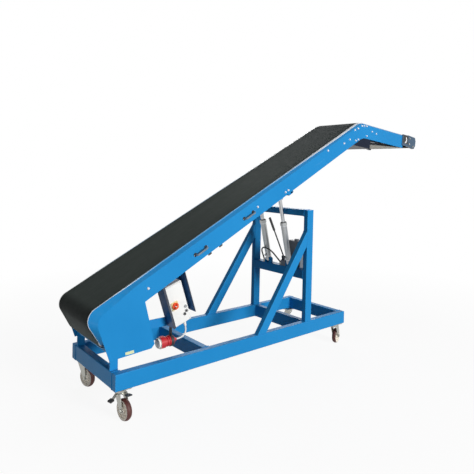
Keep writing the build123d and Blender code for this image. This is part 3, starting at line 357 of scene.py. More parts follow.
# Where the two colours of the switch and of the plug meet, in metres
SWITCH_PLATE_Y = -0.2322
PLUG_CAP_X = -1.2452
BLUE = painted("blue_enamel", (0.019, 0.262, 0.608), (0.015, 0.238, 0.565))
# Painted shade: the knee guard is near-black navy for the shade it lies in under the knee
PAINTED_GUARD_SHADE = painted("guard_enamel", (0.010, 0.016, 0.034), (0.008, 0.012, 0.026))
SLATE = painted("slate_enamel", (0.085, 0.135, 0.20), (0.065, 0.105, 0.16))
BRIGHT = metal("bright_steel", (0.66, 0.67, 0.68), 0.26)
CHROME = metal("chromed_rod", (0.52, 0.53, 0.54), 0.14, (1.0, 1.0, 8.0))
ZINC = metal("zinc_plate", (0.40, 0.40, 0.37), 0.34)
SATIN = metal("satin_barrel", (0.40, 0.41, 0.41), 0.34, (1.0, 1.0, 6.0), (0.6, 0.6, 0.58))
DARK = moulded("pump_casting", (0.13, 0.15, 0.18), (0.18, 0.20, 0.225), 0.38, 300.0, 0.2)
CREAM = moulded("wheel_centre", (0.93, 0.88, 0.79), (0.84, 0.77, 0.66))
TREAD = moulded("wheel_tread", (0.080, 0.018, 0.014), (0.060, 0.017, 0.014), 0.5)
SHELL = moulded("box_shell", (0.90, 0.90, 0.88), (0.84, 0.84, 0.82))
JACKET = moulded("lead_jacket", (0.80, 0.80, 0.79), (0.66, 0.66, 0.64), 0.45)
RUBBER = moulded("hose_rubber", (0.018, 0.018, 0.019), (0.035, 0.035, 0.035), 0.5)
GRIP = moulded("grip_sleeve", (0.13, 0.19, 0.25), (0.17, 0.23, 0.29), 0.4)
FABRIC = moulded("belt_fabric", (0.62, 0.58, 0.48), (0.45, 0.42, 0.36), 0.8, 1400.0, 0.3)
PLATE = moulded("blank_plate", (0.72, 0.76, 0.44), (0.78, 0.82, 0.66), 0.35)
GALV = moulded("bright_zinc", (0.84, 0.86, 0.88), (0.68, 0.70, 0.72), 0.28, 500.0, 0.04)
PAN = moulded("under_sheet_paint", (0.86, 0.83, 0.70), (0.74, 0.71, 0.6), 0.5, 300.0, 0.05)
SWITCH = two_tone("switch_colours", "Y", SWITCH_PLATE_Y, (0.80, 0.085, 0.02), (0.82, 0.66, 0.30))
PLUG = two_tone("plug_colours", "X", PLUG_CAP_X, (0.93, 0.90, 0.84), (0.56, 0.022, 0.03))
BUTTON = button_caps()
CHANNEL = channel_colours()
LIP_HIGHLIGHT = trim_colours()
BELT = belt_cover()

FINISHES = {
    "blue_paint": BLUE,
    "belt": BELT,
    "steel": BRIGHT,
    "chrome_rod": CHROME,
    "zinc": ZINC,
    "hub_plastic": CREAM,
    "tyre": TREAD,
    "box_plastic": SHELL,
    "switch_red": SWITCH,
    "button_black": BUTTON,
    "plug_red": PLUG,
    "lead_grey": JACKET,
    "black_rubber": RUBBER,
    "dark_metal": DARK,
}
OWN_FINISHES = {
    "lift_barrel_left": SATIN,
    "lift_barrel_right": SATIN,
    "nose_bearings": SLATE,
    "knee_guard": PAINTED_GUARD_SHADE,
    "control_channel": CHANNEL,
    "pivot_pin": BLUE,
    "plug_clip": RUBBER,
}
for part in frame["record"]["subparts"]:
    mesh = nodes[part["node"]].data
    mesh.materials.clear()
    mesh.materials.append(OWN_FINISHES.get(part["node"], FINISHES[part["material_slot"]]))


def settle(obj, body, replaces=()):
    """The piece rides on its body and stands for the CAD nodes named."""
    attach(obj, body)
    if replaces:
        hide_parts(*replaces)
    return obj


# Power lead, from the gland down and round to its plug
def hang_lead():
    curve = bpy.data.curves.new("power_lead_run", "CURVE")
    curve.dimensions = "3D"
    curve.bevel_depth = 0.0055
    curve.bevel_resolution = 4
    curve.resolution_u = 24
    curve.use_fill_caps = True
    points = (
        (-1.05339, -0.207, 0.44646),
        (-1.03689, -0.207, 0.39715),
        (-1.06727, -0.207, 0.35495),
        (-1.11927, -0.207, 0.35495),
    )
    spline = curve.splines.new("NURBS")
    spline.points.add(len(points) - 1)
    for point, place in zip(spline.points, points):
        point.co = (*place, 1.0)
    spline.order_u = 3
    spline.use_endpoint_u = True
    curve.materials.append(JACKET)
    lead = bpy.data.objects.new("power_lead_run", curve)
    bpy.context.scene.collection.objects.link(lead)
    settle(lead, "boom", ("power_lead",))


hang_lead()


# Geometry trees for what repeats
class Layout(Plan):
    """A geometry tree with named inputs that ends in plain, coated geometry."""

    def __init__(self, name, *inputs):
        super().__init__(bpy.data.node_groups.new(name, "GeometryNodeTree"))
        face = self.tree.interface
        face.new_socket("Geometry", in_out="INPUT", socket_type="NodeSocketGeometry")
        face.new_socket("Geometry", in_out="OUTPUT", socket_type="NodeSocketGeometry")
        for label, kind in inputs:
            face.new_socket(label, in_out="INPUT", socket_type="NodeSocket" + kind)
        face.new_socket("Material", in_out="INPUT", socket_type="NodeSocketMaterial")
        self.start = self.tree.nodes.new("NodeGroupInput")

    def given(self, label):
        return Term(self.tree, self.start.outputs[label])

    def end(self, instances):
        whole = self.node("GeometryNodeRealizeInstances", None, {0: instances})
        sockets = {"Geometry": whole, "Material": self.given("Material")}
        coated = self.node("GeometryNodeSetMaterial", None, sockets)
        result = self.tree.nodes.new("NodeGroupOutput")
        self.tree.links.new(coated.socket, result.inputs[0])
        return self.tree


def bolt_heads():
    """Hex heads on washers, one on each given point."""
    corner_to_flat = 0.57735
    sizes = ("Across", "Head", "Washer", "Washer Height", "Turn")
    kinds = ("Float", "Float", "Float", "Float", "Vector")
    plan = Layout("bolt_heads", *zip(sizes, kinds))
    across, head, washer, under, turn = (plan.given(label) for label in sizes)
    radius = across * corner_to_flat

    def raised(shape, height):
        lift = plan.node("ShaderNodeCombineXYZ", None, {2: height})
        return plan.node("GeometryNodeTransform", None, {"Geometry": shape, "Translation": lift})

    sockets = {"Vertices": 6, "Radius": radius, "Depth": head}
    hexagon = raised(plan.node("GeometryNodeMeshCylinder", None, sockets), under + head * 0.5)
    sockets = {"Vertices": 6, "Radius Top": radius * 0.78, "Radius Bottom": radius, "Depth": head * 0.16}
    crown = raised(plan.node("GeometryNodeMeshCone", None, sockets), under + head)
    sockets = {"Vertices": 18, "Radius": washer * 0.5, "Depth": under}
    ring = raised(plan.node("GeometryNodeMeshCylinder", None, sockets), under * 0.5)
    bolt = plan.node("GeometryNodeJoinGeometry", None, {0: [hexagon, crown, ring]})
    facing = plan.node("FunctionNodeEulerToRotation", None, {0: turn})
    sockets = {"Points": plan.given("Geometry"), "Instance": bolt, "Rotation": facing}
    return plan.end(plan.node("GeometryNodeInstanceOnPoints", None, sockets))


def weld_beads():
    """Overlapping beads of weld along the given edges, with seeded uneven sizes."""
    plan = Layout("weld_beads", ("Bead", "Float"), ("Pitch", "Float"), ("Seed", "Int"))
    path = plan.node("GeometryNodeMeshToCurve", None, {"Mesh": plan.given("Geometry")})
    sockets = {"Curve": path, "Length": plan.given("Pitch")}
    path = plan.node("GeometryNodeCurveToPoints", {"mode": "LENGTH"}, sockets)
    sockets = {"Radius": plan.given("Bead"), "Subdivisions": 1}
    bead = plan.node("GeometryNodeMeshIcoSphere", None, sockets)
    bead = plan.node("GeometryNodeSetShadeSmooth", None, {0: bead})
    sockets = {2: 0.82, 3: 1.18, "Seed": plan.given("Seed")}
    size = plan.node("FunctionNodeRandomValue", {"data_type": "FLOAT"}, sockets, 1)
    sockets = {"Points": path, "Instance": bead, "Scale": size}
    return plan.end(plan.node("GeometryNodeInstanceOnPoints", None, sockets))


def rib_ring():
    """Straight ribs set round an axis, then turned and carried to their place."""
    sizes = ("Count", "Radius", "Long", "Wide", "High", "Place", "Turn")
    kinds = ("Int", "Float", "Float", "Float", "Float", "Vector", "Vector")
    plan = Layout("rib_ring", *zip(sizes, kinds))
    count, radius, length, width, height, place, turn = (plan.given(label) for label in sizes)
    circle = plan.node("GeometryNodeMeshCircle", None, {"Vertices": count, "Radius": radius})
    size = plan.node("ShaderNodeCombineXYZ", None, {0: length, 1: width, 2: height})
    rib = plan.node("GeometryNodeMeshCube", None, {"Size": size})
    index = plan.node("GeometryNodeInputIndex")
    step = plan.node("ShaderNodeCombineXYZ", None, {2: index * (2 * pi) / count})
    facing = plan.node("FunctionNodeEulerToRotation", None, {0: step})
    sockets = {"Points": circle, "Instance": rib, "Rotation": facing}
    ring = plan.node("GeometryNodeInstanceOnPoints", None, sockets)
    facing = plan.node("FunctionNodeEulerToRotation", None, {0: turn})
    sockets = {"Geometry": ring, "Translation": place, "Rotation": facing}
    return plan.end(plan.node("GeometryNodeTransform", None, sockets))


BOLTS = bolt_heads()
WELDS = weld_beads()
RIBS = rib_ring()


def laid_out(name, tree, points, edges, values, material, body):
    """A piece that a geometry tree makes on points and edges, kept as a plain mesh."""
    places = bpy.data.meshes.new(name + "_places")
    places.from_pydata([tuple(point) for point in points], edges, [])
    obj = bpy.data.objects.new(name, places)
    bpy.context.scene.collection.objects.link(obj)
    step = obj.modifiers.new("layout", "NODES")
    step.node_group = tree
    for socket in tree.interface.items_tree:
        if socket.item_type == "SOCKET" and socket.in_out == "INPUT":
            if socket.name == "Material":
                step[socket.identifier] = material
            elif socket.name in values:
                step[socket.identifier] = values[socket.name]
    bpy.context.view_layer.update()
    shape = obj.evaluated_get(bpy.context.evaluated_depsgraph_get())
    mesh = bpy.data.meshes.new_from_object(shape)
    obj.modifiers.remove(step)
    obj.data = mesh
    bpy.data.meshes.remove(places)
    return settle(obj, body)


def bolts(name, points, turn, size, body, material=GALV):
    """Bolt heads of one thread size on points, facing one way."""
    values = {
        "Across": size * 1.6,
        "Head": size * 0.65,
        "Washer": size * 2.1,
        "Washer Height": size * 0.2,
        "Turn": turn,
    }
    laid_out(name, BOLTS, points, [], values, material, body)


def welds(name, lines, body, bead):
    """Weld beads along several polylines."""
    points = []
    edges = []
    for line in lines:
        start = len(points)
        points.extend(line)
        edges.extend((start + k, start + k + 1) for k in range(len(line) - 1))
    values = {"Bead": bead, "Pitch": bead * 1.05, "Seed": len(points)}
    laid_out(name, WELDS, points, edges, values, BLUE, body)


def ribs(name, count, radius, size, place, turn, material, body):
    """Ribs of one size (long, wide, high) in a ring round a place."""
    values = dict(zip(("Long", "Wide", "High"), size))
    values.update({"Count": count, "Radius": radius, "Place": tuple(place), "Turn": turn})
    laid_out(name, RIBS, [(0.0, 0.0, 0.0)], [], values, material, body)


# Mesh writing
def solid(name, work, material, body, replaces=(), crease=35.0):
    """A finished piece from a bmesh that stands in metres in the row frame."""
    mesh = bpy.data.meshes.new(name)
    bmesh.ops.recalc_face_normals(work, faces=work.faces)
    work.to_mesh(mesh)
    work.free()
    mesh.shade_smooth()
    mesh.set_sharp_from_angle(angle=radians(crease))
    mesh.materials.append(material)
    obj = bpy.data.objects.new(name, mesh)
    bpy.context.scene.collection.objects.link(obj)
    return settle(obj, body, replaces)


def block(work, corners, near, far, place):
    """A prism: corners in one plane, and place(a, b, depth) gives each one at near and far."""
    rings = [[work.verts.new(place(a, b, depth)) for a, b in corners] for depth in (near, far)]
    work.faces.new(rings[0])
    work.faces.new(rings[1][::-1])
    count = len(corners)
    for i in range(count):
        j = (i + 1) % count
        work.faces.new((rings[0][i], rings[1][i], rings[1][j], rings[0][j]))


def slabs(name, cuts, place, material, body, rounding=0.0, steps=2):
    """A piece of one or more prisms (corners, near, far), its hard edges rounded."""
    work = bmesh.new()
    for corners, near, far in cuts:
        block(work, corners, near, far, place)
    obj = solid(name, work, material, body)
    if rounding:
        edge = obj.modifiers.new("rounding", "BEVEL")
        edge.width = rounding
        edge.segments = steps
        edge.limit_method = "ANGLE"
        edge.angle_limit = radians(40)


def rectangle(a, b, width, height, turn=0.0, corner=0.0, steps=5):
    """Corners of a turned rectangle, its corners rounded where a corner radius is given."""
    places = []
    for sx, sy, start in ((1, 1, 0), (-1, 1, 90), (-1, -1, 180), (1, -1, 270)):
        x = sx * (width / 2 - corner)
        y = sy * (height / 2 - corner)
        for k in range(steps + 1 if corner else 1):
            angle = radians(start + 90.0 * k / steps)
            places.append((x + corner * cos(angle), y + corner * sin(angle)))
    turned_places = []
    for x, y in places:
        turned_places.append((a + x * cos(turn) - y * sin(turn), b + x * sin(turn) + y * cos(turn)))
    return turned_places


def four_corners(a, b, across, up):
    """Places at this reach from a middle, one in each corner."""
    return [(a + i * across, b + j * up) for i in (-1, 1) for j in (-1, 1)]


def turned(work, profile, origin, axis, sides, annular=False):
    """A shape of revolution: profile is (distance along the axis, radius) in metres. An annular
    profile closes on itself, and the ends of any other are capped."""
    axis = Vector(axis).normalized()
    first = axis.orthogonal().normalized()
    second = axis.cross(first)
    rings = []
    for distance, radius in profile:
        centre = Vector(origin) + axis * distance
        if radius < 1e-6:
            rings.append([work.verts.new(centre)])
            continue
        ring = []
        for k in range(sides):
            angle = 2 * pi * k / sides
            ring.append(work.verts.new(centre + (first * cos(angle) + second * sin(angle)) * radius))
        rings.append(ring)
    if annular:
        rings.append(rings[0])
    for one, two in zip(rings, rings[1:]):
        for k in range(sides):
            m = (k + 1) % sides
            if len(one) == 1:
                work.faces.new((one[0], two[m], two[k]))
            elif len(two) == 1:
                work.faces.new((one[k], one[m], two[0]))
            else:
                work.faces.new((one[k], one[m], two[m], two[k]))
    if annular:
        return
    for end in (rings[0][::-1], rings[-1]):
        if len(end) > 1:
            work.faces.new(end)


def mirrored(middle, half):
    """A profile in metres from its middle and the half that runs outwards, both in millimetres."""
    ring = [(-a, b) for a, b in half[::-1]] + [*middle, *half]
    return [(a / 1000, b / 1000) for a, b in ring]


def tube(work, path, radius, sides=16):
    """A round bar along a path of points, its ends closed."""
    rings = []
    count = len(path)
    turn = None
    for i, point in enumerate(path):
        ahead = (path[min(i + 1, count - 1)] - path[max(i - 1, 0)]).normalized()
        if turn is None:
            turn = ahead.orthogonal().normalized()
        turn = (turn - ahead * turn.dot(ahead)).normalized()
        other = ahead.cross(turn)
        ring = []
        for k in range(sides):
            angle = 2 * pi * k / sides
            ring.append(work.verts.new(point + (turn * cos(angle) + other * sin(angle)) * radius))
        rings.append(ring)
    work.faces.new(rings[0][::-1])
    work.faces.new(rings[-1])
    for first, second in zip(rings, rings[1:]):
        for k in range(sides):
            m = (k + 1) % sides
            work.faces.new((first[k], first[m], second[m], second[k]))


def round_corners(points, radius, steps=8):
    """The path with its inner corners rounded."""
    path = [points[0]]
    for before, here, after in zip(points, points[1:], points[2:]):
        first = (before - here).normalized()
        second = (after - here).normalized()
        reach = min(radius, (before - here).length * 0.49, (after - here).length * 0.49)
        start = here + first * reach
        end = here + second * reach
        for k in range(steps + 1):
            t = k / steps
            path.append(start * (1 - t) ** 2 + here * 2 * t * (1 - t) + end * t**2)
    path.append(points[-1])
    return path


def grown(s, low, high):
    """0 up to low, 1 from high on, and in proportion between them."""
    return min(max((s - low) / (high - low), 0.0), 1.0)


# Belt: one endless loop over its drum and rollers, charcoal cover outside and pale fabric inside
FOLD = KNEE[1]
BED_RISE = 14.7
BELT_EDGE = 220.0
BELT_THICK = 4.0
BELT_SEAT = 0.3
RETURN_RUN = FOLD - 85.6 - BELT_SEAT
TAIL_DRUM = (23.0, 212.7)
KNEE_HALF = NOSE_DROP / 2
KNEE_RADIUS = 220.0
KNEE_CENTRE = (KNEE[0] + (BED_RISE - KNEE_RADIUS) * tan(KNEE_HALF), FOLD + BED_RISE - KNEE_RADIUS)
# s, n, radius, and whether the belt's inner face lies on it
BELT_TURNS = (
    (*TAIL_DRUM, 73.0, True),
    (*KNEE_CENTRE, KNEE_RADIUS, True),
    (*nose(901.32, -37.3), 52.0, True),
    (*nose(60.0, -183.0), 16.0, False),
    (2540.0, RETURN_RUN - 16.0, 16.0, False),
    (330.0, RETURN_RUN - 24.0, 24.0, False),
    (-10.0, 88.0, 38.0, True),
)


def belt_line(outward):
    """The loop's places, moved outward from the face that lies on the rollers."""
    arc_steps = 14
    run_step = 180.0
    turns = []
    for s, n, radius, inside in BELT_TURNS:
        reach = radius + BELT_SEAT + outward if inside else radius + BELT_SEAT + BELT_THICK - outward
        turns.append((s, n, reach if inside else -reach))
    count = len(turns)
    headings = []
    for i, (s, n, reach) in enumerate(turns):
        next_s, next_n, next_reach = turns[(i + 1) % count]
        away = Vector((next_s - s, next_n - n))
        headings.append(atan2(away.y, away.x) - asin((reach - next_reach) / away.length))
    line = []
    for i, (s, n, reach) in enumerate(turns):
        arrive, leave = headings[i - 1], headings[i]
        bend = (arrive - leave + pi) % (2 * pi) - pi
        if reach > 0 and bend < 0:
            bend += 2 * pi
        for k in range(arc_steps + 1):
            heading = arrive - bend * k / arc_steps
            line.append((s - reach * sin(heading), n + reach * cos(heading)))
        start = line[-1]
        next_s, next_n, next_reach = turns[(i + 1) % count]
        end = (next_s - next_reach * sin(leave), next_n + next_reach * cos(leave))
        parts = max(1, round(dist(start, end) / run_step))
        for k in range(1, parts):
            share = k / parts
            line.append((start[0] + (end[0] - start[0]) * share, start[1] + (end[1] - start[1]) * share))
    return line


def make_belt():
    work = bmesh.new()
    lines = (belt_line(0.0), belt_line(BELT_THICK))
    rings = []
    for face, y in ((0, BELT_EDGE), (1, BELT_EDGE), (1, -BELT_EDGE), (0, -BELT_EDGE)):
        rings.append([work.verts.new(boom(s, n, y)) for s, n in lines[face]])
    count = len(rings[0])
    for band in range(4):
        one, two = rings[band], rings[(band + 1) % 4]
        for i in range(count):
            j = (i + 1) % count
            face = work.faces.new((one[i], one[j], two[j], two[i]))
            face.material_index = 1 if band == 3 else 0
    belt = solid("belt_loop", work, BELT, "boom", ("belt",), 60.0)
    belt.data.materials.append(FABRIC)


make_belt()

# Painted highlight: pale strips on the lip beside the belt, from the tail's front up over the knee
LIP_RISE = 17.5
LIP_REACH = 75.8
FLANGE_WIDTH = 34.0
STRIP_INSIDE = 221.6
STRIP_OUTSIDE = 226.4


def lip_places(inset):
    """Places along the lip, moved inwards by the inset."""
    arc_steps, knee_steps = 16, 8
    reach = LIP_REACH - inset
    line = [(-43.0 + inset, 82.0)]
    for k in range(arc_steps + 1):
        angle = radians(180 - k * 90 / arc_steps)
        line.append((TAIL_DRUM[0] + reach * cos(angle), TAIL_DRUM[1] + reach * sin(angle)))
    line.extend((s, TAIL_DRUM[1] + reach) for s in (125.0, 280.0, 1400.0, 1900.0, 2400.0))
    bend = KNEE_RADIUS - BED_RISE + LIP_RISE - inset
    for k in range(knee_steps + 1):
        angle = KNEE_HALF * 2 * k / knee_steps
        line.append((KNEE_CENTRE[0] + bend * sin(angle), KNEE_CENTRE[1] + bend * cos(angle)))
    return line


def strip_rings(side):
    """Edges of the strip: it widens past the tail, and again down the flange's slope."""
    rows = [[], [], [], [], []]
    for (s, n), (low_s, low_n) in zip(lip_places(-0.9), lip_places(4.6)):
        reach = 11.0 * grown(s, 1400.0, 2400.0)
        flat = STRIP_OUTSIDE + 4.6 * grown(s, 125.0, 280.0)
        drop = reach * LIP_RISE / FLANGE_WIDTH
        inward = Vector((low_s - s, low_n - n)).normalized()
        edge = Vector((s, n)) + inward * drop
        under = edge + inward * 1.6 if reach else Vector((low_s, low_n))
        rows[0].append(boom(s, n, side * STRIP_INSIDE))
        rows[1].append(boom(s, n, side * flat))
        rows[2].append(boom(*edge, side * (flat + 0.1 + reach)))
        rows[3].append(boom(*under, side * (flat + 0.1 + reach)))
        rows[4].append(boom(low_s, low_n, side * STRIP_INSIDE))
    return rows


for side, side_name in SIDES:
    work = bmesh.new()
    rings = [[work.verts.new(place) for place in row] for row in strip_rings(side)]
    for one, two in zip(rings, rings[1:] + rings[:1]):
        for i in range(len(one) - 1):
            work.faces.new((one[i], one[i + 1], two[i + 1], two[i]))
    work.faces.new([ring[0] for ring in rings])
    work.faces.new([ring[-1] for ring in rings[::-1]])
    solid(f"belt_edge_highlight_{side_name}", work, LIP_HIGHLIGHT, "boom")

# Webs and nose: bolts, pressed tabs under the lower edge, and the slotted plate's cover and slide
WEB_BOLTS = (
    (344.0, 211.0),
    (1347.0, 217.0),
    (1649.0, 177.0),
    (1682.0, 177.0),
    (2247.0, 251.0),
    (2472.0, 217.0),
    (2560.0, 214.0),
    (2664.0, 259.0),
    (2712.0, 253.0),
    (2634.0, 171.0),
    (2672.0, 164.0),
)
NOSE_BOLTS = ((8.0, -18.0), (42.0, -12.0), (80.0, -9.0), (168.0, -44.0), (238.0, -52.0), (90.0, -96.0))
BEARING_BOLTS = ((815.0, -70.0), (815.0, -12.0), (885.0, -84.0))
TABS = ((834.0, 146.0), (937.0, 146.0), (1720.0, 146.0))
SLOT_U, SLOT_V = 735.0, -35.0
SLOT_TURNS = (62, 40, 18, -4, -26, -48, -70, -92)
slide = []
for reach, turns in ((35.0, SLOT_TURNS), (19.0, SLOT_TURNS[::-1])):
    slide += [(SLOT_U + reach * cos(radians(t)), SLOT_V + reach * sin(radians(t))) for t in turns]
cover = rectangle(748.0, -31.0, 88.0, 82.0, 0.0, 4.0)
for side, side_name in SIDES:
    outward = (-side * pi / 2, 0.0, 0.0)
    places = [boom(s, n, side * WEB_FACE) for s, n in WEB_BOLTS]
    places += [on_nose(u, v, side * WEB_FACE) for u, v in NOSE_BOLTS]
    bolts(f"web_bolts_{side_name}", places, outward, 0.008, "boom")
    places = [on_nose(u, v, side * (WEB_FACE + 6.0)) for u, v in BEARING_BOLTS]
    bolts(f"bearing_bolts_{side_name}", places, outward, 0.010, "boom", ZINC)
    cuts = [(rectangle(s, n, 30.0, 20.0, 0.0, 4.0), side * 256.0, side * 252.5) for s, n in TABS]
    slabs(f"edge_tabs_{side_name}", cuts, boom, RUBBER, "boom", 0.0006)
    cuts = [(cover, side * 266.8, side * 265.0)]
    slabs(f"slot_cover_{side_name}", cuts, on_nose, RUBBER, "boom", 0.0004)
    cuts = [(slide, side * 269.0, side * 266.0)]
    slabs(f"slot_slide_{side_name}", cuts, on_nose, GALV, "boom", 0.0008)


# Pale sheet under the nose's return strand, with dark hems along its edges
def below_strand(low, high, gap, thick):
    """Outline of a sheet from u low to high, at a gap below the return strand."""
    ends = [(u, -166.7 - gap + (u - 60.0) * 0.0869) for u in (low, high)]
    return [*ends, *((u, v - thick) for u, v in ends[::-1])]


SHEET_ENDS = (164.0, 480.0, 796.0)
work = bmesh.new()
for low, high in zip(SHEET_ENDS, SHEET_ENDS[1:]):
    block(work, below_strand(low, high, 3.0, 1.5), -236.0, 236.0, on_nose)
bmesh.ops.remove_doubles(work, verts=work.verts, dist=1e-6)
solid("nose_under_sheet", work, PAN, "boom")
hem = below_strand(SHEET_ENDS[0], SHEET_ENDS[-1], 2.0, 4.0)
cuts = [(hem, side * 234.0, side * 240.0) for side, side_name in SIDES]
slabs("nose_sheet_hems", cuts, on_nose, RUBBER, "boom", 0.0006)

# Bow handles: bent bars on round feet, with ribbed sleeves
HANDLES_S = (774.0, 1245.0)
HANDLES_N = 205.0
HANDLE_HALF = 47.0
HANDLE_OUT = 287.0
SCREW_PAST = 10.4
SLEEVE_START = -24.5
SLEEVE_PITCH = 3.5
SLEEVE_RIB = ((-0.001, 0.0062), (-0.0006, 0.0070), (0.0006, 0.0070), (0.001, 0.0062))
FOOT = ((0.0, 0.013), (0.004, 0.013), (0.005, 0.0118), (0.012, 0.0084), (0.012, 0.0))
for side, side_name in SIDES:
    work = bmesh.new()
    feet = bmesh.new()
    screws = []
    for s in HANDLES_S:
        bends = ((-1, WEB_FACE), (-1, HANDLE_OUT), (1, HANDLE_OUT), (1, WEB_FACE))
        route = [boom(s + end * HANDLE_HALF, HANDLES_N, side * out) for end, out in bends]
        tube(work, round_corners(route, 0.022), 0.0068)
        for k in range(15):
            ring = boom(s + SLEEVE_START + SLEEVE_PITCH * k, HANDLES_N, side * HANDLE_OUT)
            turned(work, SLEEVE_RIB, ring, boom(1.0, 0.0) - boom(0.0, 0.0), 20, True)
        for end in (-1, 1):
            foot = boom(s + end * HANDLE_HALF, HANDLES_N, side * WEB_FACE)
            turned(feet, FOOT, foot, (0, side, 0), 28)
            screws.append(boom(s + end * HANDLE_HALF + end * SCREW_PAST, HANDLES_N, side * 264.0))
    solid(f"bow_handles_{side_name}", work, GRIP, "boom", (f"web_handles_{side_name}",))
    solid(f"handle_feet_{side_name}", feet, RUBBER, "boom")
    bolts(f"handle_screws_{side_name}", screws, (-side * pi / 2, 0.0, 0.0), 0.0032, "boom")

# Control unit: lid gasket and screws, switch screws and pointer, cable gland rings, plug ribs
LID = (-9.0, -180.0)
DIAL = (-31.0, -177.0)
LID_FACE = -226.0
DIAL_FACE = -232.0
LEAD_Y = -207.0
FRONT = (pi / 2, 0.0, 0.0)
cuts = [(rectangle(*LID, 147.6, 281.6, 0.0, 8.6), -200.0, -197.4)]
slabs("lid_gasket", cuts, on_controls, RUBBER, "boom")
places = [on_controls(p, q, LID_FACE) for p, q in four_corners(*LID, 60.0, 127.0)]
bolts("lid_screws", places, FRONT, 0.0034, "boom")
places = [on_controls(p, q, DIAL_FACE) for p, q in four_corners(*DIAL, 20.5, 20.5)]
bolts("switch_screws", places, FRONT, 0.0022, "boom")
aside, above = 8.0 * cos(radians(135.0)), 8.0 * sin(radians(135.0))
mark = [(p + aside, q + above) for p, q in rectangle(*DIAL, 3.0, 13.0, radians(45.0), 1.2, 3)]
slabs("switch_pointer", [(mark, -256.3, -254.0)], on_controls, SHELL, "boom")
down = on_controls(0.0, -1.0, 0.0) - on_controls(0.0, 0.0, 0.0)
work = bmesh.new()
for k in range(4):
    radius = 9.3 - 0.5 * k
    ring = on_controls(15.0, -334.0 - 4.2 * k, LEAD_Y)
    profile = ((-0.0011, radius - 1.2), (-0.0007, radius), (0.0007, radius), (0.0011, radius - 1.2))
    turned(work, [(a, b / 1000) for a, b in profile], ring, down, 24, True)
solid("gland_rings", work, SHELL, "boom")
middle = (-1.22727, -0.207, 0.35495)
facing = (0.0, -pi / 2, 0.0)
ribs("plug_ribs", 16, 0.0366, (0.0022, 0.0042, 0.028), middle, facing, PLUG, "boom")

# Blank plate low on the tail housing
plate = ((50.5, -38.5), (100.5, -61.5), (95.5, -79.5), (43.5, -54.0))
slabs("blank_plate", [(plate, -261.0, -259.5)], boom, PLATE, "boom", 0.0003)

# Casters: hub ribs, tyre walls, tyres and top plate bolts
# Name, x and y of the swivel, and its heading in degrees
CASTERS = (
    ("low_right", -1532.6046, -270.0, 275.0),
    ("low_left", -1532.6046, 270.0, 285.0),
    ("high_right", 447.3954, -270.0, 20.0),
    ("high_left", 447.3954, 270.0, 120.0),
)
CASTER_TRAIL = 40.0
AXLE_HEIGHT = 62.5
PLATE_UNDERSIDE = 174.0
TYRE_WALL = mirrored(((-12.0, 58.0), (12.0, 58.0)), ((15.9, 56.1), (15.7, 50.8), (14.0, 50.0)))
TYRE = mirrored(((0.0, 62.45),), ((4.0, 62.1), (8.0, 60.95), (12.0, 59.1), (15.97, 56.4), (15.97, 55.3)))
HUB_RIB = (0.029, 0.0026, 0.026)
plate_bolts = []
for caster, x, y, heading in CASTERS:
    plate_bolts += [Vector((a, b, PLATE_UNDERSIDE)) / 1000 for a, b in four_corners(x, y, 42.0, 32.0)]
    turn = radians(heading)
    middle = Vector((x + CASTER_TRAIL * cos(turn), y + CASTER_TRAIL * sin(turn), AXLE_HEIGHT)) / 1000
    axle = (-sin(turn), cos(turn), 0.0)
    wheel = f"wheel_{caster}"
    facing = (-pi / 2, 0.0, turn)
    ribs(f"hub_ribs_{caster}", 9, 0.0305, HUB_RIB, middle, facing, CREAM, wheel)
    work = bmesh.new()
    turned(work, TYRE_WALL, middle, axle, 64, True)
    solid(f"tyre_wall_{caster}", work, CREAM, wheel)
    work = bmesh.new()
    turned(work, TYRE, middle, axle, 64, True)
    solid(f"tyre_tread_{caster}", work, TREAD, wheel, (f"caster_tyre_{caster}",))
bolts("caster_plate_bolts", plate_bolts, (pi, 0.0, 0.0), 0.006, "chassis", ZINC)


# Lock lever of the near caster, and the treads of that lever and of the brake pedal
def lever_side(heading):
    """Places on the near caster: a ahead of the swivel along the heading, b up, depth across."""
    turn = radians(heading)
    ahead = Vector((cos(turn), sin(turn), 0.0)) / 1000
    across = Vector((-sin(turn), cos(turn), 0.0)) / 1000
    head = Vector((-1.5326046, -0.27, 0.0))
    return lambda a, b, depth: head + ahead * a + across * depth + Vector((0.0, 0.0, b / 1000))


ARM = ((14, 153), (38, 148), (58, 130), (80, 123), (80, 119.5), (56, 126), (36, 144), (14, 149))
ARM_TREAD = ((58, 132.5), (82, 126.5), (84, 122), (82, 117), (58, 123))
PEDAL_TREAD = ((64, 160.4), (94, 164.6), (95.5, 163.0), (95.5, 158.6), (94, 157.6), (64, 154.6))
# Name, outline, half width, heading in degrees, finish and slot
LEVER_PIECES = (
    ("lock_lever_arm", ARM, 11.0, 192.0, ZINC, "zinc"),
    ("lock_lever_tread", ARM_TREAD, 16.0, 192.0, RUBBER, "black_rubber"),
    ("brake_pedal_tread", PEDAL_TREAD, 17.0, 275.0, RUBBER, "black_rubber"),
)
for name, outline, half, heading, finish, slot in LEVER_PIECES:
    cuts = [(outline, -half, half)]
    slabs(name, cuts, lever_side(heading), finish, "swivel_low_right", 0.0012, 3)

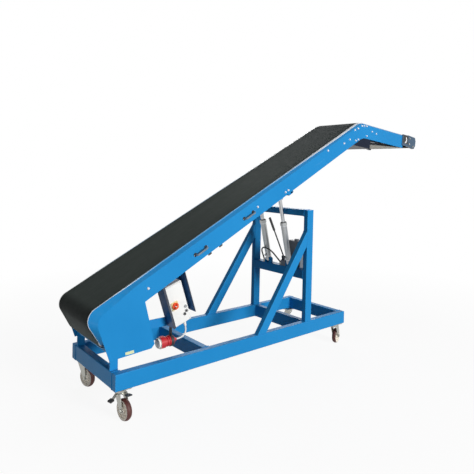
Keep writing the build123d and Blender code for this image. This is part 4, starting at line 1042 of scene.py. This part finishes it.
# Lift cylinders: wiper rings at the barrels' mouths and bands at both ends
BARREL_FOOT = Vector((27.3954, 0.0, 710.0))
BARREL_OUT = 120.0
ROD_PIN = boom(1700.0, 105.0) * 1000
WIPER = (
    (0.3498, 0.0170),
    (0.3498, 0.0215),
    (0.3525, 0.0215),
    (0.3550, 0.0185),
    (0.3550, 0.0162),
    (0.3498, 0.0158),
)
lean = (ROD_PIN - BARREL_FOOT).normalized()
for side, side_name in SIDES:
    base = (BARREL_FOOT + Vector((0.0, side * BARREL_OUT, 0.0))) / 1000
    work = bmesh.new()
    turned(work, WIPER, base, lean, 36, True)
    solid(f"wiper_{side_name}", work, RUBBER, f"barrel_{side_name}")
    work = bmesh.new()
    for at in (0.030, 0.318):
        ring = ((at, 0.0238), (at + 0.001, 0.0246), (at + 0.004, 0.0246), (at + 0.005, 0.0238))
        turned(work, ring, base, lean, 40, True)
    solid(f"barrel_bands_{side_name}", work, BRIGHT, f"barrel_{side_name}")

# Hand pump and oil tank: cap screws, filler cap's knurl, lever with its grip, tank seam
LEVER_LEAN = radians(27.5)
LEVER_AXIS = Vector((-sin(LEVER_LEAN), 0.0, cos(LEVER_LEAN)))
LEVER_FOOT = Vector((0.0354, -0.057, 0.7317))
LEVER_ROD = ((0.0, 0.0), (0.0, 0.0064), (0.03, 0.0064), (0.05, 0.0055), (0.284, 0.0055), (0.284, 0.0))
GRIP_RIB = ((0.2850, 0.0088), (0.2865, 0.0098), (0.2910, 0.0098), (0.2930, 0.0088))
screws = [Vector((x, y, 728.0)) / 1000 for x in (18.0, 52.0) for y in (-77.0, -37.0)]
bolts("pump_screws", screws, (0.0, 0.0, 0.0), 0.005, "chassis", ZINC)
cap, upright, knurl = (0.1104, -0.117, 0.8975), (0.0, 0.0, 0.0), (0.0014, 0.0016, 0.011)
ribs("tank_cap_knurl", 30, 0.018, knurl, cap, upright, RUBBER, "chassis")
work = bmesh.new()
turned(work, LEVER_ROD, LEVER_FOOT, LEVER_AXIS, 20)
solid("lever_rod", work, RUBBER, "chassis", ("pump_lever",))
grip = [(0.280, 0.0), (0.280, 0.0078), (0.283, 0.0086)]
for k in range(11):
    grip += [(at + 0.01 * k, radius) for at, radius in GRIP_RIB]
grip += [(0.3960, 0.0104), (0.3990, 0.0092), (0.4000, 0.0060), (0.4000, 0.0)]
work = bmesh.new()
turned(work, grip, LEVER_FOOT, LEVER_AXIS, 28)
solid("lever_grip", work, RUBBER, "chassis")
seam = [(a / 1000, b / 1000) for a, b in rectangle(110.4, -117.0, 65.6, 141.6, 0.0, 14.8, 6)]
cuts = [(seam, 0.868, 0.872)]
slabs("tank_seam", cuts, lambda *place: Vector(place), DARK, "chassis", 0.001)

# Cooling fins round the drive motor
middle = boom(165.0, 6.0, 68.0)
facing = (-pi / 2, 0.0, 0.0)
ribs("motor_fins", 28, 0.060, (0.009, 0.0022, 0.150), middle, facing, DARK, "boom")


# Weld beads where the frame's tubes and the lift beam meet what carries them
def seam_round(first, second, place):
    """A closed seam round a rectangle: place(a, b) gives its corners over two ranges."""
    (a, c), (b, d) = first, second
    return [Vector(place(*corner)) / 1000 for corner in ((a, b), (c, b), (c, d), (a, d), (a, b))]


# Ranges that the seams span: along x for the first two, in height for the rest
POST = (8.4, 78.4)
BRACE_FOOT = (-498.5, -412.7)
RAIL = (181.0, 280.0)
BRACE_HEAD = (875.0, 995.0)
BARS = ((612.0, 682.0), (1110.0, 1160.0))
CROSS_MEMBERS_X = (-1567.6, -927.6, 43.4, 482.4)
lines = []
for side, side_name in SIDES:
    y = side * 270.0
    for x in CROSS_MEMBERS_X:
        lines.append(seam_round((x - 25, x + 25), RAIL, lambda a, b: (a, y, b)))
    depth = (side * 280.0, side * 319.0)
    for ends in (POST, BRACE_FOOT):
        lines.append(seam_round(ends, depth, lambda a, b: (a, b, RAIL[1])))
    lines.append(seam_round(BRACE_HEAD, depth, lambda a, b: (POST[0], b, a)))
    for heights in BARS:
        lines.append(seam_round(POST, heights, lambda a, b: (a, depth[0], b)))
    for y in (side * 235.0, side * 245.0):
        lines.append([Vector((x, y, RAIL[1])) / 1000 for x in (-1591.0, -1544.0)])
    for y in (side * 94.0, side * 146.0):
        lines.append([Vector((x, y, BARS[0][1])) / 1000 for x in (8.5, 46.5)])
welds("frame_welds", lines, "chassis", 0.0032)
lines = []
for side, side_name in SIDES:
    corners = ((1675.0, 134.0), (1725.0, 134.0), (1725.0, 178.0), (1675.0, 178.0), (1675.0, 134.0))
    lines.append([boom(s, n, side * 256.0) for s, n in corners])
welds("lift_beam_welds", lines, "boom", 0.0026)


# Floor, backdrop and light
def lay_floor(reach):
    """A pale floor that takes the soft shadow and goes to plain white away from the machine."""
    dim, pale = (0.34, 0.34, 0.34), (0.92, 0.92, 0.92)
    floor = Finish("pale_floor", Roughness=0.9, Specular_IOR_Level=0.0)
    camera_ray = floor.node("ShaderNodeLightPath", output="Is Camera Ray")
    seen = camera_ray.most(floor.node("ShaderNodeLightPath", output="Is Glossy Ray"))
    floor.feed("Base Color", floor.blend(seen, dim, pale))
    away = floor.node("ShaderNodeVectorMath", {"operation": "LENGTH"}, {0: floor.place}, "Value")
    share = seen * (0.91 + floor.ramp(away, 1.6, 4.0) * 0.09)
    glow = floor.node("ShaderNodeEmission", None, {"Strength": 1.0})
    surface = Term(floor.tree, floor.shader.outputs[0])
    mixed = floor.node("ShaderNodeMixShader", None, {0: share, 1: surface, 2: glow})
    floor.tree.links.new(mixed.socket, floor.result.inputs["Surface"])
    mesh = bpy.data.meshes.new("floor")
    corners = [(-reach, -reach, 0), (reach, -reach, 0), (reach, reach, 0), (-reach, reach, 0)]
    mesh.from_pydata(corners, [], [(0, 1, 2, 3)])
    mesh.materials.append(floor.material)
    obj = bpy.data.objects.new("floor", mesh)
    bpy.context.scene.collection.objects.link(obj)


def light_world(level, shine):
    """Plain white to the camera, a level of soft light on surfaces and another in reflections."""
    world = bpy.data.worlds.new("studio")
    bpy.context.scene.world = world
    world.use_nodes = True
    sky = Plan(world.node_tree)
    sky.tree.nodes.clear()
    camera_ray = sky.node("ShaderNodeLightPath", output="Is Camera Ray")
    glossy = sky.node("ShaderNodeLightPath", output="Is Glossy Ray")
    through = sky.node("ShaderNodeLightPath", output="Is Transmission Ray")
    strength = camera_ray.most(through).most(glossy * shine).most(level)
    sockets = {"Color": (1.0, 1.0, 1.0, 1.0), "Strength": strength}
    light = sky.node("ShaderNodeBackground", None, sockets)
    result = sky.tree.nodes.new("ShaderNodeOutputWorld")
    sky.tree.links.new(light.socket, result.inputs["Surface"])


def lamp(name, place, target, size, power):
    data = bpy.data.lights.new(name, "AREA")
    data.shape = "RECTANGLE"
    data.size = size
    data.size_y = size
    data.energy = power
    obj = bpy.data.objects.new(name, data)
    aim = Vector(target) - Vector(place)
    obj.matrix_world = Matrix.Translation(place) @ aim.to_track_quat("-Z", "Y").to_matrix().to_4x4()
    bpy.context.scene.collection.objects.link(obj)


lay_floor(40.0)
light_world(0.075, 0.85)
lamp("key", (0.4, -9.4, 3.7), (0.0, 0.0, 0.9), 3.2, 900.0)
lamp("top", (-0.4, 0.6, 6.0), (0.0, 0.0, 0.6), 4.0, 36.0)
lamp("low_left", (-3.0, -1.1, 0.28), (-1.53, -0.3, 0.10), 0.6, 6.0)
lamp("back", (3.6, 4.2, 3.4), (0.0, 0.0, 0.9), 3.0, 90.0)

bpy.context.scene.view_settings.view_transform = "Standard"
